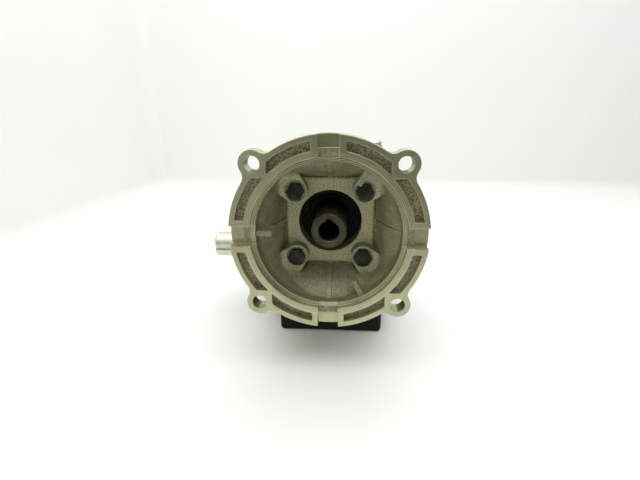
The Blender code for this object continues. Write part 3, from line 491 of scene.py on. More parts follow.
def square_reach(angle, half, radius):
    """How far a rounded square reaches from its middle at this angle."""
    angle = abs((angle + QUARTER / 2) % QUARTER - QUARTER / 2)
    flat = half / math.cos(angle)
    middle = half - radius
    if flat * math.sin(angle) <= middle:
        return flat
    along = middle * (math.cos(angle) + math.sin(angle))
    return along + math.sqrt(along**2 - 2 * middle**2 + radius**2)


def curved(a, b, c, d, t):
    """A value on the smooth curve through four, at the share t of the way from the second to the third."""
    slope = (c - a) * t
    bend = (2 * a - 5 * b + 4 * c - d) * t**2
    twist = (3 * b - a - 3 * c + d) * t**3
    return 0.5 * (2 * b + slope + bend + twist)


def eased(sections, between=3):
    """More sections, on a smooth curve through the given ones."""
    made = []
    last = len(sections) - 1
    for number in range(last):
        before = sections[max(number - 1, 0)]
        after = sections[min(number + 2, last)]
        near = list(zip(before, sections[number], sections[number + 1], after))
        for step in range(between):
            made.append(tuple(curved(*four, step / between) for four in near))
    return made + [sections[last]]


def softer_least(first, second, ease):
    """The lesser of two lengths, run into each other over about ease."""
    share = min(max(0.5 + 0.5 * (second - first) / ease, 0.0), 1.0)
    return second + (first - second) * share - ease * share * (1.0 - share)


def square_loft(sections, widest, steps=FINE):
    """Rounded squares at their depths, run with a fillet into a round wall of the widest radius."""
    bm = bmesh.new()
    earlier = None
    ends = []
    for depth, half, radius in sections:
        corners = []
        for step in range(steps):
            angle = TURN * step / steps
            reach = softer_least(widest, square_reach(angle, half, min(radius, half)), LOFT_EASE)
            corners.append(bm.verts.new((reach * math.cos(angle), reach * math.sin(angle), -depth)))
        edges = [bm.edges.new((corners[step - 1], corners[step])) for step in range(steps)]
        if earlier:
            bmesh.ops.bridge_loops(bm, edges=earlier + edges)
        earlier = edges
        ends.append(edges)
    for edges in (ends[0], ends[-1]):
        bmesh.ops.contextual_create(bm, geom=edges)
    return bm


def worked(body, steps):
    """The body with each (operation, tool) worked into it in order. The tools end here."""
    for number, (operation, tool) in enumerate(steps):
        boolean = body.modifiers.new(f"Work {number}", "BOOLEAN")
        boolean.operation = operation
        boolean.solver = "EXACT"
        boolean.object = tool
    graph = bpy.context.evaluated_depsgraph_get()
    bm = bmesh.new()
    bm.from_mesh(body.evaluated_get(graph).data)
    bmesh.ops.remove_doubles(bm, verts=bm.verts, dist=2 * MERGE)
    body.modifiers.clear()
    bm.to_mesh(body.data)
    bm.free()
    for _, tool in steps:
        if tool.name in bpy.data.objects:
            bpy.data.objects.remove(tool)
    return body


def shown(obj, body, slot, *nodes):
    """A finished piece: its smooth and sharp edges, finish and body, and the CAD nodes that it stands for."""
    mesh = obj.data
    mesh.materials.clear()
    mesh.materials.append(FINISHES[slot])
    mesh.shade_smooth()
    mesh.set_sharp_from_angle(angle=SMOOTH_BELOW)
    weighted = obj.modifiers.new("Flat faces stay flat", "WEIGHTED_NORMAL")
    weighted.keep_sharp = True
    graph = bpy.context.evaluated_depsgraph_get()
    obj.data = bpy.data.meshes.new_from_object(obj.evaluated_get(graph))
    obj.modifiers.clear()
    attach(obj, body)
    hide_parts(*nodes)
    return obj


# Finishes.

# Numbers of a colour Mix node's inputs and of its output.
MIX_SHARE = 0
MIX_FIRST = 6
MIX_SECOND = 7
MIX_COLOUR = 2


class Wire:
    """A shader socket that takes part in plain arithmetic."""

    def __init__(self, finish, socket):
        self.finish = finish
        self.socket = socket

    def math(self, operation, *others):
        sockets = dict(enumerate((self, *others)))
        return self.finish.node("ShaderNodeMath", {"operation": operation}, sockets)

    def __add__(self, other):
        return self.math("ADD", other)

    __radd__ = __add__

    def __mul__(self, other):
        return self.math("MULTIPLY", other)

    __rmul__ = __mul__

    def __sub__(self, other):
        return self.math("SUBTRACT", other)

    def __rsub__(self, other):
        return (self * -1.0).math("ADD", other)

    def between(self, low, high):
        """0 below low and 1 above high, eased; with low above high, the other way round."""
        settings = {"interpolation_type": "SMOOTHSTEP"}
        sockets = {"Value": self, "From Min": low, "From Max": high}
        return self.finish.node("ShaderNodeMapRange", settings, sockets)


class Finish:
    """One material and the few things that its recipe asks for."""

    def __init__(self, name, roughness=0.5, metallic=0.0, rounding=0.0, **constants):
        self.material = bpy.data.materials.new(name)
        self.material.use_nodes = True
        self.tree = self.material.node_tree
        self.shader = self.tree.nodes["Principled BSDF"]
        self.shader.inputs["Roughness"].default_value = roughness
        self.shader.inputs["Metallic"].default_value = metallic
        for socket, value in constants.items():
            self.shader.inputs[socket.replace("_", " ")].default_value = value
        self.place = self.node("ShaderNodeTexCoord", {}, {}, "Object")
        self.normal = None
        if rounding:
            self.normal = self.node("ShaderNodeBevel", {"samples": 4}, {"Radius": rounding}, "Normal")

    def node(self, kind, settings, sockets, output=0):
        made = self.tree.nodes.new(kind)
        for name, value in settings.items():
            setattr(made, name, value)
        for name, value in sockets.items():
            if isinstance(value, Wire):
                self.tree.links.new(value.socket, made.inputs[name])
            else:
                made.inputs[name].default_value = value
        return Wire(self, made.outputs[output])

    def axes(self):
        parts = self.node("ShaderNodeSeparateXYZ", {}, {"Vector": self.place}).socket.node
        return [Wire(self, parts.outputs[name]) for name in ("X", "Y", "Z")]

    def round_axis(self, centre, along):
        """Distance from a line along X or Y, the place along it, and how far beside and above it."""
        x, y, z = self.axes()
        up = z - centre[2]
        side, station = (x - centre[0], y) if along == "Y" else (y - centre[1], x)
        return (side * side + up * up).math("SQRT"), station, side, up

    def noise(self, size, detail=2.0, roughness=0.5, stretch=None):
        place = self.place
        if stretch:
            place = self.node("ShaderNodeVectorMath", {"operation": "MULTIPLY"}, {0: self.place, 1: stretch})
        sockets = {"Vector": place, "Scale": 1.0 / size, "Detail": detail, "Roughness": roughness}
        return self.node("ShaderNodeTexNoise", {}, sockets)

    def speckle(self, size):
        """Distance to scattered points: small pits and grains."""
        sockets = {"Vector": self.place, "Scale": 1.0 / size, "Randomness": 1.0}
        return self.node("ShaderNodeTexVoronoi", {}, sockets, "Distance")

    def mixed(self, share, first, second):
        """A colour between two, each a colour or a wire."""

        def whole(colour):
            return colour if isinstance(colour, Wire) else (*colour, 1.0)

        sockets = {MIX_SHARE: share, MIX_FIRST: whole(first), MIX_SECOND: whole(second)}
        return self.node("ShaderNodeMix", {"data_type": "RGBA"}, sockets, MIX_COLOUR)

    def bumps(self, height, distance, strength):
        sockets = {"Height": height, "Distance": distance, "Strength": strength}
        if self.normal:
            sockets["Normal"] = self.normal
        self.normal = self.node("ShaderNodeBump", {}, sockets, "Normal")

    def done(self, colour, roughness, metallic=None):
        wires = {"Base Color": colour, "Roughness": roughness, "Metallic": metallic, "Normal": self.normal}
        for name, wire in wires.items():
            if wire is not None:
                self.tree.links.new(wire.socket, self.shader.inputs[name])
        return self.material


def cast_aluminium():
    """Cast aluminium, its face, register and rim turned, its pockets left rough and stained."""
    f = Finish("cast_aluminium", rounding=0.9 * MM, metallic=0.6)
    radius, station, side, up = f.round_axis((0, 0, WORM_Z), "Y")
    depth = station - FACE_Y
    square = side.math("ABSOLUTE").math("MAXIMUM", up.math("ABSOLUTE"))
    corner = side.math("ABSOLUTE").math("MINIMUM", up.math("ABSOLUTE"))

    def within(place, low, low_ease, high, high_ease):
        """1 from low to high, eased in before low and out after high."""
        return place.between(low - low_ease, low) * place.between(high + high_ease, high)

    on_face = depth.between(0.35 * MM, 0.15 * MM)
    on_register = within(radius, WALL_R - 0.1 * MM, 0.3 * MM, 57.8 * MM, 0.2 * MM)
    on_register = on_register * depth.between(13 * MM, 12.4 * MM)
    on_rim = radius.between(RIM_R - 0.4 * MM, RIM_R - 0.2 * MM)
    on_rim = on_rim * depth.between(RIM_THICK, RIM_THICK - 0.5 * MM)
    on_notch = within(depth, NOTCH_DEEP - 0.08 * MM, 0.12 * MM, NOTCH_DEEP + 0.08 * MM, 0.12 * MM)
    on_notch = on_notch * radius.between(NOTCH_STEP_R + 0.2 * MM, NOTCH_STEP_R + 0.5 * MM)
    turned = (on_face + on_register + on_rim + on_notch).math("MINIMUM", 1.0)
    in_ring = within(radius, POCKET_IN_R - 0.6 * MM, 0.5 * MM, POCKET_OUT_R + 0.3 * MM, 0.5 * MM)
    stained = in_ring * within(depth, POCKET_DEEP - 1 * MM, 3.1 * MM, POCKET_DEEP + 0.15 * MM, 0.2 * MM)
    on_plate = within(depth, PLATE_FACE, 0.4 * MM, PLATE_FACE + 0.6 * MM, 1 * MM)
    on_tower = within(depth, TOWER_TOP, 0.2 * MM, TOWER_SEAT + 0.1 * MM, 0.5 * MM)
    on_tower = on_tower * corner.between(16.5 * MM, 17.5 * MM) * square.between(42 * MM, 38 * MM)
    # Painted highlight: the plate's and the towers' front faces are painted pale for the light they catch
    # deep in the bell, and made less metallic.
    painted_lit_faces = (on_plate * square.between(39 * MM, 36.5 * MM) + on_tower).math("MINIMUM", 1.0)
    cloud = f.noise(14 * MM, 3.0, 0.6)
    grain = f.noise(1.1 * MM, 3.0, 0.7)
    fine = f.noise(0.35 * MM, 2.0, 0.6)
    pits = f.speckle(1.3 * MM).between(0.34, 0.1)
    rough_colour = f.mixed(cloud.between(0.3, 0.7), (0.31, 0.305, 0.185), (0.44, 0.435, 0.265))
    # Painted highlight: the pale colour laid on the plate and the tower tops.
    rough_colour = f.mixed(painted_lit_faces * 0.85, rough_colour, (0.76, 0.735, 0.47))
    rough_colour = f.mixed(grain.between(0.60, 0.38) * 0.6, rough_colour, (0.13, 0.115, 0.07))
    stain_colour = f.mixed(grain.between(0.35, 0.65), (0.14, 0.11, 0.06), (0.62, 0.575, 0.39))
    rough_colour = f.mixed(stained * 0.8, rough_colour, stain_colour)
    bright = f.mixed(cloud.between(0.25, 0.75), (0.53, 0.53, 0.33), (0.63, 0.63, 0.405))
    bright = f.mixed(fine.between(0.60, 0.35) * 0.4, bright, (0.24, 0.235, 0.14))
    grooves = ((radius + depth * 0.7) * (TURN / (1.05 * MM)) + cloud * 5.0).math("SINE")
    grooved = (on_register + on_rim + on_face * radius.between(61.6 * MM, 61.2 * MM)).math("MINIMUM", 1.0)
    # Painted glints and painted shade: pale and dark rings in the colour of the turned grooves, over the real
    # grooves that the bumps below cut.
    bright = f.mixed(grooves.between(-0.2, -0.9) * grooved * 0.6, bright, (0.88, 0.87, 0.62))
    bright = f.mixed(grooves.between(0.1, 0.9) * grooved * 0.65, bright, (0.15, 0.145, 0.085))
    colour = f.mixed(turned, rough_colour, bright)
    rings = (radius * (TURN / (0.42 * MM)) + cloud * 3.0).math("SINE")
    f.bumps(cloud, 0.5 * MM, 0.35)
    f.bumps(grain - pits * 0.6, 0.28 * MM, 1.0 - turned * 0.85)
    f.bumps(rings, 0.02 * MM, turned * 0.55)
    f.bumps(grooves, 0.05 * MM, grooved * 0.6)
    return f.done(colour, 0.60 - turned * 0.28 + grain * 0.12, 0.45 + turned * 0.45 - painted_lit_faces * 0.25)


def slate_paint():
    """Dark paint over iron: orange peel, dust in clouds and a few rubbed spots."""
    f = Finish("slate_paint", roughness=0.5, rounding=0.8 * MM, Specular_IOR_Level=0.13)
    peel = f.noise(1.7 * MM, 2.0, 0.5)
    cast = f.noise(6 * MM, 3.0, 0.6)
    dust = f.noise(24 * MM, 4.0, 0.65)
    specks = f.speckle(3.1 * MM).between(0.07, 0.03)
    colour = f.mixed(dust.between(0.4, 0.75), (0.010, 0.0115, 0.008), (0.018, 0.020, 0.0145))
    colour = f.mixed(specks * 0.4, colour, (0.12, 0.12, 0.095))
    f.bumps(cast, 0.35 * MM, 0.5)
    f.bumps(peel, 0.10 * MM, 0.5)
    return f.done(colour, 0.44 + dust * 0.22)


def black_oxide():
    """Oiled black steel, rubbed paler where a spanner slipped."""
    f = Finish("black_oxide", metallic=0.75, rounding=0.25 * MM)
    grain = f.noise(0.5 * MM, 3.0, 0.6)
    cloud = f.noise(5 * MM, 2.0, 0.5)
    colour = f.mixed(cloud.between(0.3, 0.7), (0.026, 0.029, 0.024), (0.052, 0.055, 0.045))
    colour = f.mixed(grain.between(0.62, 0.75) * 0.5, colour, (0.11, 0.105, 0.08))
    f.bumps(grain, 0.05 * MM, 0.6)
    return f.done(colour, 0.32 + cloud * 0.2)


def turned_steel(name, dark, light, along, centre, roughness):
    """Steel with the lathe's marks round one axis on its sides and ends."""
    f = Finish(name, metallic=0.95, rounding=0.2 * MM)
    radius, station = f.round_axis(centre, along)[:2]
    cloud = f.noise(9 * MM, 3.0, 0.55)
    fine = f.noise(0.4 * MM, 2.0, 0.6)
    marks = ((radius + station) * (TURN / (0.3 * MM)) + fine * 2.0).math("SINE")
    colour = f.mixed(cloud.between(0.3, 0.7), dark, light)
    colour = f.mixed(fine.between(0.62, 0.74) * 0.35, colour, [share * 0.45 for share in dark])
    f.bumps(marks, 0.006 * MM, 0.6)
    f.bumps(fine, 0.03 * MM, 0.35)
    return f.done(colour, roughness + cloud * 0.16)


def gear_bronze():
    """Bronze with the cutter's marks along the wheel's axis."""
    f = Finish("gear_bronze", metallic=0.95, rounding=0.2 * MM)
    station = f.axes()[0]
    cloud = f.noise(8 * MM, 3.0, 0.5)
    hobbed = (station * (TURN / (0.5 * MM)) + cloud * 4.0).math("SINE")
    colour = f.mixed(cloud.between(0.3, 0.7), (0.46, 0.28, 0.09), (0.62, 0.41, 0.16))
    f.bumps(hobbed, 0.01 * MM, 0.5)
    return f.done(colour, 0.26 + cloud * 0.2)


def cast_iron():
    """Bare grey iron, grainy all over."""
    f = Finish("cast_iron", metallic=0.5, rounding=0.4 * MM)
    grain = f.noise(0.8 * MM, 3.0, 0.6)
    cloud = f.noise(7 * MM, 2.0, 0.5)
    colour = f.mixed(cloud, (0.09, 0.09, 0.088), (0.15, 0.145, 0.14))
    f.bumps(grain, 0.12 * MM, 0.7)
    return f.done(colour, 0.5 + grain * 0.2)


def seal_rubber():
    """Moulded black rubber, matt and a little cloudy."""
    f = Finish("seal_rubber", roughness=0.6, rounding=0.2 * MM, Specular_IOR_Level=0.2)
    cloud = f.noise(3 * MM, 2.0, 0.5)
    grain = f.noise(0.4 * MM, 2.0, 0.5)
    colour = f.mixed(cloud, (0.005, 0.005, 0.004), (0.012, 0.011, 0.009))
    f.bumps(grain, 0.03 * MM, 0.4)
    return f.done(colour, 0.45 + cloud * 0.2)


def gasket_fibre():
    """Green fibre sheet, its strands pressed flat."""
    f = Finish("gasket_fibre", roughness=0.85)
    strands = f.noise(0.6 * MM, 3.0, 0.7, (1.0, 1.0, 0.3))
    colour = f.mixed(strands.between(0.35, 0.65), (0.07, 0.11, 0.08), (0.14, 0.20, 0.15))
    f.bumps(strands, 0.05 * MM, 0.8)
    return f.done(colour, 0.75 + strands * 0.2)


def zinc_plate():
    """Bright zinc over steel, spangled and slightly wavy."""
    f = Finish("zinc_plate", metallic=0.95, rounding=0.25 * MM)
    spangle = f.speckle(1.6 * MM)
    cloud = f.noise(4 * MM, 2.0, 0.5)
    colour = f.mixed(spangle.between(0.1, 0.7), (0.56, 0.56, 0.50), (0.74, 0.74, 0.68))
    f.bumps(cloud, 0.08 * MM, 0.4)
    return f.done(colour, 0.24 + cloud * 0.22)


FINISHES = {
    "cast_aluminium": cast_aluminium(),
    "slate_paint": slate_paint(),
    "black_oxide": black_oxide(),
    "bright_steel": turned_steel(
        "bright_steel", (0.60, 0.605, 0.49), (0.76, 0.765, 0.63), "X", (0, 0, OUTPUT_Z), 0.30
    ),
    # Painted shade: the quill's steel gets a near-black colour for the shade deep in the bell.
    "ground_steel": turned_steel(
        "ground_steel", (0.075, 0.075, 0.045), (0.115, 0.112, 0.07), "Y", (0, 0, WORM_Z), 0.38
    ),
    "bearing_steel": turned_steel(
        "bearing_steel", (0.62, 0.63, 0.64), (0.74, 0.75, 0.76), "X", (0, 0, OUTPUT_Z), 0.12
    ),
    "gear_bronze": gear_bronze(),
    "cast_iron": cast_iron(),
    "gasket_fibre": gasket_fibre(),
    "seal_rubber": seal_rubber(),
    "zinc_plate": zinc_plate(),
}


# Motor flange.


def flange_outline():
    """The rim with its four ears, each run into the rim by a fillet on both sides."""
    to_rim = RIM_R + EAR_FILLET_R
    to_ear = EAR_R + EAR_FILLET_R
    swing = math.acos((to_rim**2 + BOLT_CIRCLE_R**2 - to_ear**2) / (2 * to_rim * BOLT_CIRCLE_R))
    fillet = (to_rim * math.cos(swing), to_rim * math.sin(swing))
    at_ear = math.atan2(fillet[1], fillet[0] - BOLT_CIRCLE_R)
    one_ear = arc((BOLT_CIRCLE_R, 0.0), EAR_R, -at_ear, at_ear, 24)
    run_in = arc(fillet, EAR_FILLET_R, at_ear - math.pi, swing - math.pi, 10)[1:]
    rim = arc((0.0, 0.0), RIM_R, swing, QUARTER - swing, 34)[1:]
    next_fillet = (fillet[1], fillet[0])
    run_out = arc(next_fillet, EAR_FILLET_R, -QUARTER - swing, -at_ear - QUARTER, 10)[1:-1]
    points = []
    for corner in range(4):
        points += turned_points(one_ear + run_in + rim + run_out, QUARTER * (corner + 0.5))
    return points


def pocket_outline(corner, across):
    """One cast pocket, its ends parallel to the notch beside it; across swaps it over the ear's diagonal."""

    def side(radius, start, end):
        return arc((0.0, 0.0), radius, math.acos(start / radius), math.acos(end / radius), 16)

    points = side(POCKET_IN_R, POCKET_FAR_END, POCKET_NEAR_END)
    points += side(POCKET_OUT_R, POCKET_NEAR_END, POCKET_FAR_END)
    if across:
        points = [(y, x) for x, y in points]
    return turned_points(points, QUARTER * corner)


def tower_outline(corner):
    """A bolt tower: a round nose towards the axis and two flaring sides that run into the bell's wall."""
    middle = TOWER_AT * math.sqrt(2)
    reach = math.sqrt(TOWER_OUT_R**2 - TOWER_FOOT**2) - middle
    spread = reach * math.tan(TOWER_FLARE)
    lean = QUARTER + TOWER_FLARE
    points = arc((middle, 0.0), TOWER_NOSE_R, lean, TURN - lean, 22)
    foot_y = TOWER_NOSE_R / math.cos(TOWER_FLARE) + spread
    points += [(middle + reach, -foot_y), (TOWER_OUT_R, 0.0), (middle + reach, foot_y)]
    return turned_points(points, QUARTER * (corner + 0.5))


def slope_rib(across, thick):
    """A low rib down the middle or beside the middle of one sloping side of the bell."""
    slope = [(half, -depth) for depth, half, _ in eased(WELL, 2) if 11 * MM < depth < 50 * MM]
    outline = [(half - RIB_PROUD, station) for half, station in slope]
    outline += [(half + RIB_SUNK, station) for half, station in reversed(slope)]
    rib = prism(outline, -thick / 2, thick / 2, RIB_EDGE, RIB_EDGE, 0.0, 2)
    bmesh.ops.rotate(rib, cent=(0, 0, 0), matrix=Matrix.Rotation(QUARTER, 3, "X"), verts=rib.verts)
    bmesh.ops.translate(rib, vec=(0, across, 0), verts=rib.verts)
    return rib


def flange_turn(angle):
    return ON_FLANGE @ Matrix.Rotation(angle, 4, "Z")


def bell_inside():
    """Everything that is joined to the inside of the bell, as (operation, tool)."""
    steps = []

    def join(bm, name, turn=ON_FLANGE):
        steps.append(("UNION", placed(bm, name, turn)))

    plate = square_outline(PLATE_HALF, PLATE_CORNER_R, 10)
    join(prism(plate, -BEHIND_PLATE, -PLATE_FACE, PLATE_EDGE, 0.0, 0.0, 5), "plate")
    for corner in range(4):
        join(prism(tower_outline(corner), -BEHIND_PLATE, -TOWER_TOP, CAST_EDGE), "tower")
        join(slope_rib(0.0, RIB_THICK), "rib", flange_turn(corner * QUARTER))
    join(slope_rib(STRIP_ACROSS, STRIP_THICK), "strip", flange_turn(-QUARTER))
    tab_low = (TAB_IN_R, -TAB_THICK / 2, -TAB_FACE - TAB_LONG)
    tab_high = (WALL_R + 2 * MM, TAB_THICK / 2, -TAB_FACE)
    for angle in TAB_ANGLES:
        join(block(tab_low, tab_high, CAST_EDGE), "tab", flange_turn(math.radians(angle)))
    return steps


def bell_cuts():
    """Every hole, pocket and notch that is cut after them, as (operation, tool)."""
    steps = []

    def cut(bm, turn=ON_FLANGE):
        steps.append(("DIFFERENCE", placed(bm, "cutter", turn)))

    bore = ((0, -BORE_FROM), (BORE_R, -BORE_FROM), (BORE_R, -BEHIND_FLANGE), (0, -BEHIND_FLANGE))
    cut(spun(bore, FINE))
    notch_low = (NOTCH_STEP_R, -NOTCH_HALF, -NOTCH_DEEP)
    notch_high = (NOTCH_OUT_R, NOTCH_HALF, CLEAR)
    step_low = (WALL_R - 5 * MM, -NOTCH_STEP_HALF, -NOTCH_STEP_DEEP)
    step_high = (NOTCH_STEP_R + 2 * MM, NOTCH_STEP_HALF, 4 * MM)
    for corner in range(4):
        angle = QUARTER * (corner + 0.5)
        ear = (BOLT_CIRCLE_R * math.cos(angle), BOLT_CIRCLE_R * math.sin(angle))
        tower = (TOWER_AT * math.sqrt(2) * math.cos(angle), TOWER_AT * math.sqrt(2) * math.sin(angle))
        cut(cylinder(EAR_HOLE_R, -20 * MM, CLEAR, SMALL, ear))
        cut(cylinder(TOWER_SEAT_R, -TOWER_SEAT, -20 * MM, 48, tower, 0.5 * MM))
        cut(cylinder(TOWER_HOLE_R, -BEHIND_FLANGE, -BORE_FROM, HOLE, tower))
        for across in (False, True):
            pocket = pocket_outline(corner, across)
            cut(prism(pocket, -POCKET_DEEP, 3 * MM, 0.0, POCKET_FOOT, POCKET_CORNER))
        turn = flange_turn(corner * QUARTER)
        cut(block(notch_low, notch_high, NOTCH_EDGE), turn)
        cut(block(step_low, step_high, 0.5 * MM), turn)
    return steps


def motor_flange():
    rim = prism(flange_outline(), -RIM_THICK, 0.0, RIM_EDGE, RIM_BACK_EDGE, 0.0, 2)
    flange = placed(rim, "flange_casting", ON_FLANGE)
    barrel = placed(square_loft(eased(BARREL), BARREL_R), "barrel", ON_FLANGE)
    well = placed(square_loft(eased(WELL, 5), WALL_R, WELL_SIDES), "well", ON_FLANGE)
    pilot = placed(spun(REGISTER, FINE), "register", ON_FLANGE)
    steps = [("UNION", barrel), ("DIFFERENCE", pilot), ("DIFFERENCE", well)]
    worked(flange, steps + bell_inside() + bell_cuts())
    return shown(flange, "gearbox", "cast_aluminium", "motor_flange")


# Bolts and plugs.


def hexagon(across, low, high):
    """A hexagon's head: its corners turned off at the top, and a round washer face under it."""
    corner = across / math.sqrt(3)
    points = arc((0.0, 0.0), corner, 0.0, TURN * 5 / 6, 5)
    bar = placed(prism(points, low - 1 * MM, high + 1 * MM), "hexagon")
    flat = HEAD_FACE * across
    wide = corner + 1 * MM
    drop = (wide - flat) * math.tan(HEAD_SLOPE)
    under = low + WASHER_FACE
    outline = [(0.0, low), (flat, low), (flat + WASHER_STEP, under)]
    outline += [(wide, under), (wide, high - drop), (flat, high)]
    lathe = placed(spun(outline + [(0.0, high)], PLAIN), "lathe")
    return worked(bar, [("INTERSECT", lathe)])


def threaded(radius, tip, thread_end, top, pitch):
    """A shank's outline: pointed at its tip, grooved to the thread's end, then plain."""
    root = radius - THREAD_DEPTH * pitch
    outline = [(0.0, tip), (root - TIP_SLOPE, tip)]
    station = tip + pitch / 2
    while station + pitch < thread_end:
        outline += [(root, station), (radius, station + pitch / 2)]
        station += pitch
    return outline + [(radius, station), (radius, top), (0.0, top)]


def screwed_in(name, node, slot, head, shank, matrix):
    """A head with its turned shank joined to it, named and put in its CAD node's place."""
    worked(head, [("UNION", placed(shank, "shank"))])
    head.name = name
    head.data.transform(matrix)
    return shown(head, "gearbox", slot, node)


def hex_bolt(name, node, sizes, turn):
    """A hexagon bolt in its CAD node's place, its head out along the turn's Z."""
    radius, across, high, pitch = sizes
    low_corner, high_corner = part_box(node)
    out = turn @ Vector((0, 0, 1))
    long = abs(out.dot(high_corner - low_corner))
    top = (low_corner + high_corner) / 2 + out * (long / 2)
    head = hexagon(across, -high - SEAT_GAP, 0.0)
    shank = spun(threaded(radius, -long, -high - 8 * pitch, -high / 2, pitch), SMALL)
    return screwed_in(name, node, "black_oxide", head, shank, Matrix.Translation(top) @ turn.to_4x4())


def all_bolts():
    to_front = Matrix.Rotation(QUARTER, 3, "X")
    to_rear = Matrix.Rotation(-QUARTER, 3, "X")
    to_right = Matrix.Rotation(QUARTER, 3, "Y")
    to_left = Matrix.Rotation(-QUARTER, 3, "Y")
    for number in range(1, 5):
        hex_bolt(f"flange_hex_bolt_{number}", f"flange_bolt_{number}", FLANGE_BOLT, to_front)
        hex_bolt(f"rear_hex_bolt_{number}", f"rear_cover_bolt_{number}", REAR_BOLT, to_rear)
        hex_bolt(f"left_hex_bolt_{number}", f"left_cover_bolt_{number}", SIDE_BOLT, to_left)
        hex_bolt(f"right_hex_bolt_{number}", f"right_cover_bolt_{number}", SIDE_BOLT, to_right)


def middle_of(node):
    low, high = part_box(node)
    return (low + high) / 2


def plugs():
    """The breather in the top, and the level and drain plugs in the rear."""
    at = middle_of("vent_plug")
    head = hexagon(VENT_FLATS, PLUG_OFF, VENT_HEX_HIGH)
    upright = Matrix.Translation((at.x, at.y, housing_high.z))
    screwed_in("vent_breather", "vent_plug", "zinc_plate", head, spun(VENT_OUTLINE, PLAIN), upright)
    for node, name in (("level_plug", "level_hex_plug"), ("drain_plug", "drain_hex_plug")):
        at = middle_of(node)
        head = hexagon(PLUG_FLATS, PLUG_OFF, PLUG_HIGH)
        shank = spun(threaded(PLUG_R, -PLUG_DEEP, -1 * MM, PLUG_HIGH / 2, PLUG_PITCH), SMALL)
        to_rear = Matrix.Translation((at.x, housing_high.y, at.z)) @ Matrix.Rotation(-QUARTER, 4, "X")
        screwed_in(name, node, "zinc_plate", head, shank, to_rear)


# Shafts and seals.


def worm_thread():
    """One right-hand thread, in step with a tooth space of the wheel below the worm's middle."""
    half = (PITCH / 2 - BACKLASH) / 2
    tip_half = half - MODULE * math.tan(PRESSURE)
    foot_half = half + (WORM_PITCH_R - WORM_ROOT_R + THREAD_SUNK) * math.tan(PRESSURE)
    foot_r = WORM_ROOT_R - THREAD_SUNK
    half_step = math.pi / THREAD_STEPS
    start = PITCH * (half_step / TURN - THREAD_TURNS / 2)
    section = [(foot_r, -foot_half), (foot_r, foot_half), (WORM_TIP_R, tip_half), (WORM_TIP_R, -tip_half)]
    bm = bmesh.new()
    corners = [bm.verts.new((-radius, 0.0, start + along)) for radius, along in section]
    face = bm.faces.new(corners)
    bmesh.ops.rotate(bm, cent=(0, 0, 0), matrix=Matrix.Rotation(half_step, 3, "Z"), verts=corners)
    bmesh.ops.spin(
        bm,
        geom=[face],
        cent=(0, 0, 0),
        axis=(0, 0, 1),
        dvec=(0, 0, PITCH / THREAD_STEPS),
        angle=TURN * THREAD_TURNS,
        steps=int(THREAD_TURNS * THREAD_STEPS),
    )
    return placed(bm, "thread", ON_WORM)


def input_shaft():
    """The worm and the hollow quill in one piece."""
    end = worm_low.y
    tip = [(QUILL_R, end + QUILL_CHAMFER), (QUILL_R - QUILL_CHAMFER, end), (0.0, end)]
    shaft = placed(spun(list(WORM_SHAFT) + tip, FINE), "worm_and_quill", ON_WORM)
    before = end - CLEAR
    bore = [(0.0, before), (QUILL_BORE_R + QUILL_MOUTH + CLEAR, before), (QUILL_BORE_R, end + QUILL_MOUTH)]
    bore += [(QUILL_BORE_R, QUILL_BORE_END), (0.0, QUILL_BORE_END)]
    wide, top = QUILL_KEYWAY
    keyway = block((-wide / 2, -top, before), (wide / 2, 0.0, QUILL_BORE_END - 2 * MM), 0.15 * MM, 2)
    steps = [("UNION", worm_thread())]
    steps.append(("DIFFERENCE", placed(spun(bore, PLAIN), "bore", ON_WORM)))
    steps.append(("DIFFERENCE", placed(keyway, "keyway", ON_WORM)))
    worked(shaft, steps)
    return shown(shaft, "input", "ground_steel", "input_worm_shaft")


def output_shaft():
    """The stepped shaft, with its keyway, the wheel key's seat and a centre hole."""
    end = shaft_low.x
    tip = [(SHAFT_R, end + SHAFT_CHAMFER), (SHAFT_R - SHAFT_CHAMFER, end), (0.0, end)]
    shaft = placed(spun(list(OUTPUT_SHAFT) + tip, FINE), "keyed_output_shaft", ON_OUTPUT)
    wide, deep, long = SHAFT_KEYWAY
    half = wide / 2
    slot = [(end - CLEAR, -half)] + arc((end + long - half, 0.0), half, -QUARTER, QUARTER, 14)
    slot.append((end - CLEAR, half))
    along_shaft = Matrix(((0, 1, 0, 0), (0, 0, 1, 0), (1, 0, 0, 0), (0, 0, 0, 1)))
    keyway = prism(slot, -SHAFT_R - CLEAR, -SHAFT_R + deep)
    seat_wide, seat_deep, seat_long = KEY_SEAT
    seat = block(
        (-KEY_TOP_AT - CLEAR, -seat_wide / 2, -seat_long / 2),
        (-KEY_TOP_AT + seat_deep, seat_wide / 2, seat_long / 2),
        0.2 * MM,
    )
    centre = [(radius, end + station) for radius, station in CENTRE_HOLE]
    steps = [("DIFFERENCE", placed(keyway, "keyway", ON_OUTPUT @ along_shaft))]
    steps.append(("DIFFERENCE", placed(seat, "seat", ON_OUTPUT)))
    steps.append(("DIFFERENCE", placed(spun(centre, SMALL), "centre", ON_OUTPUT)))
    worked(shaft, steps)
    return shown(shaft, "output", "bright_steel", "output_shaft")


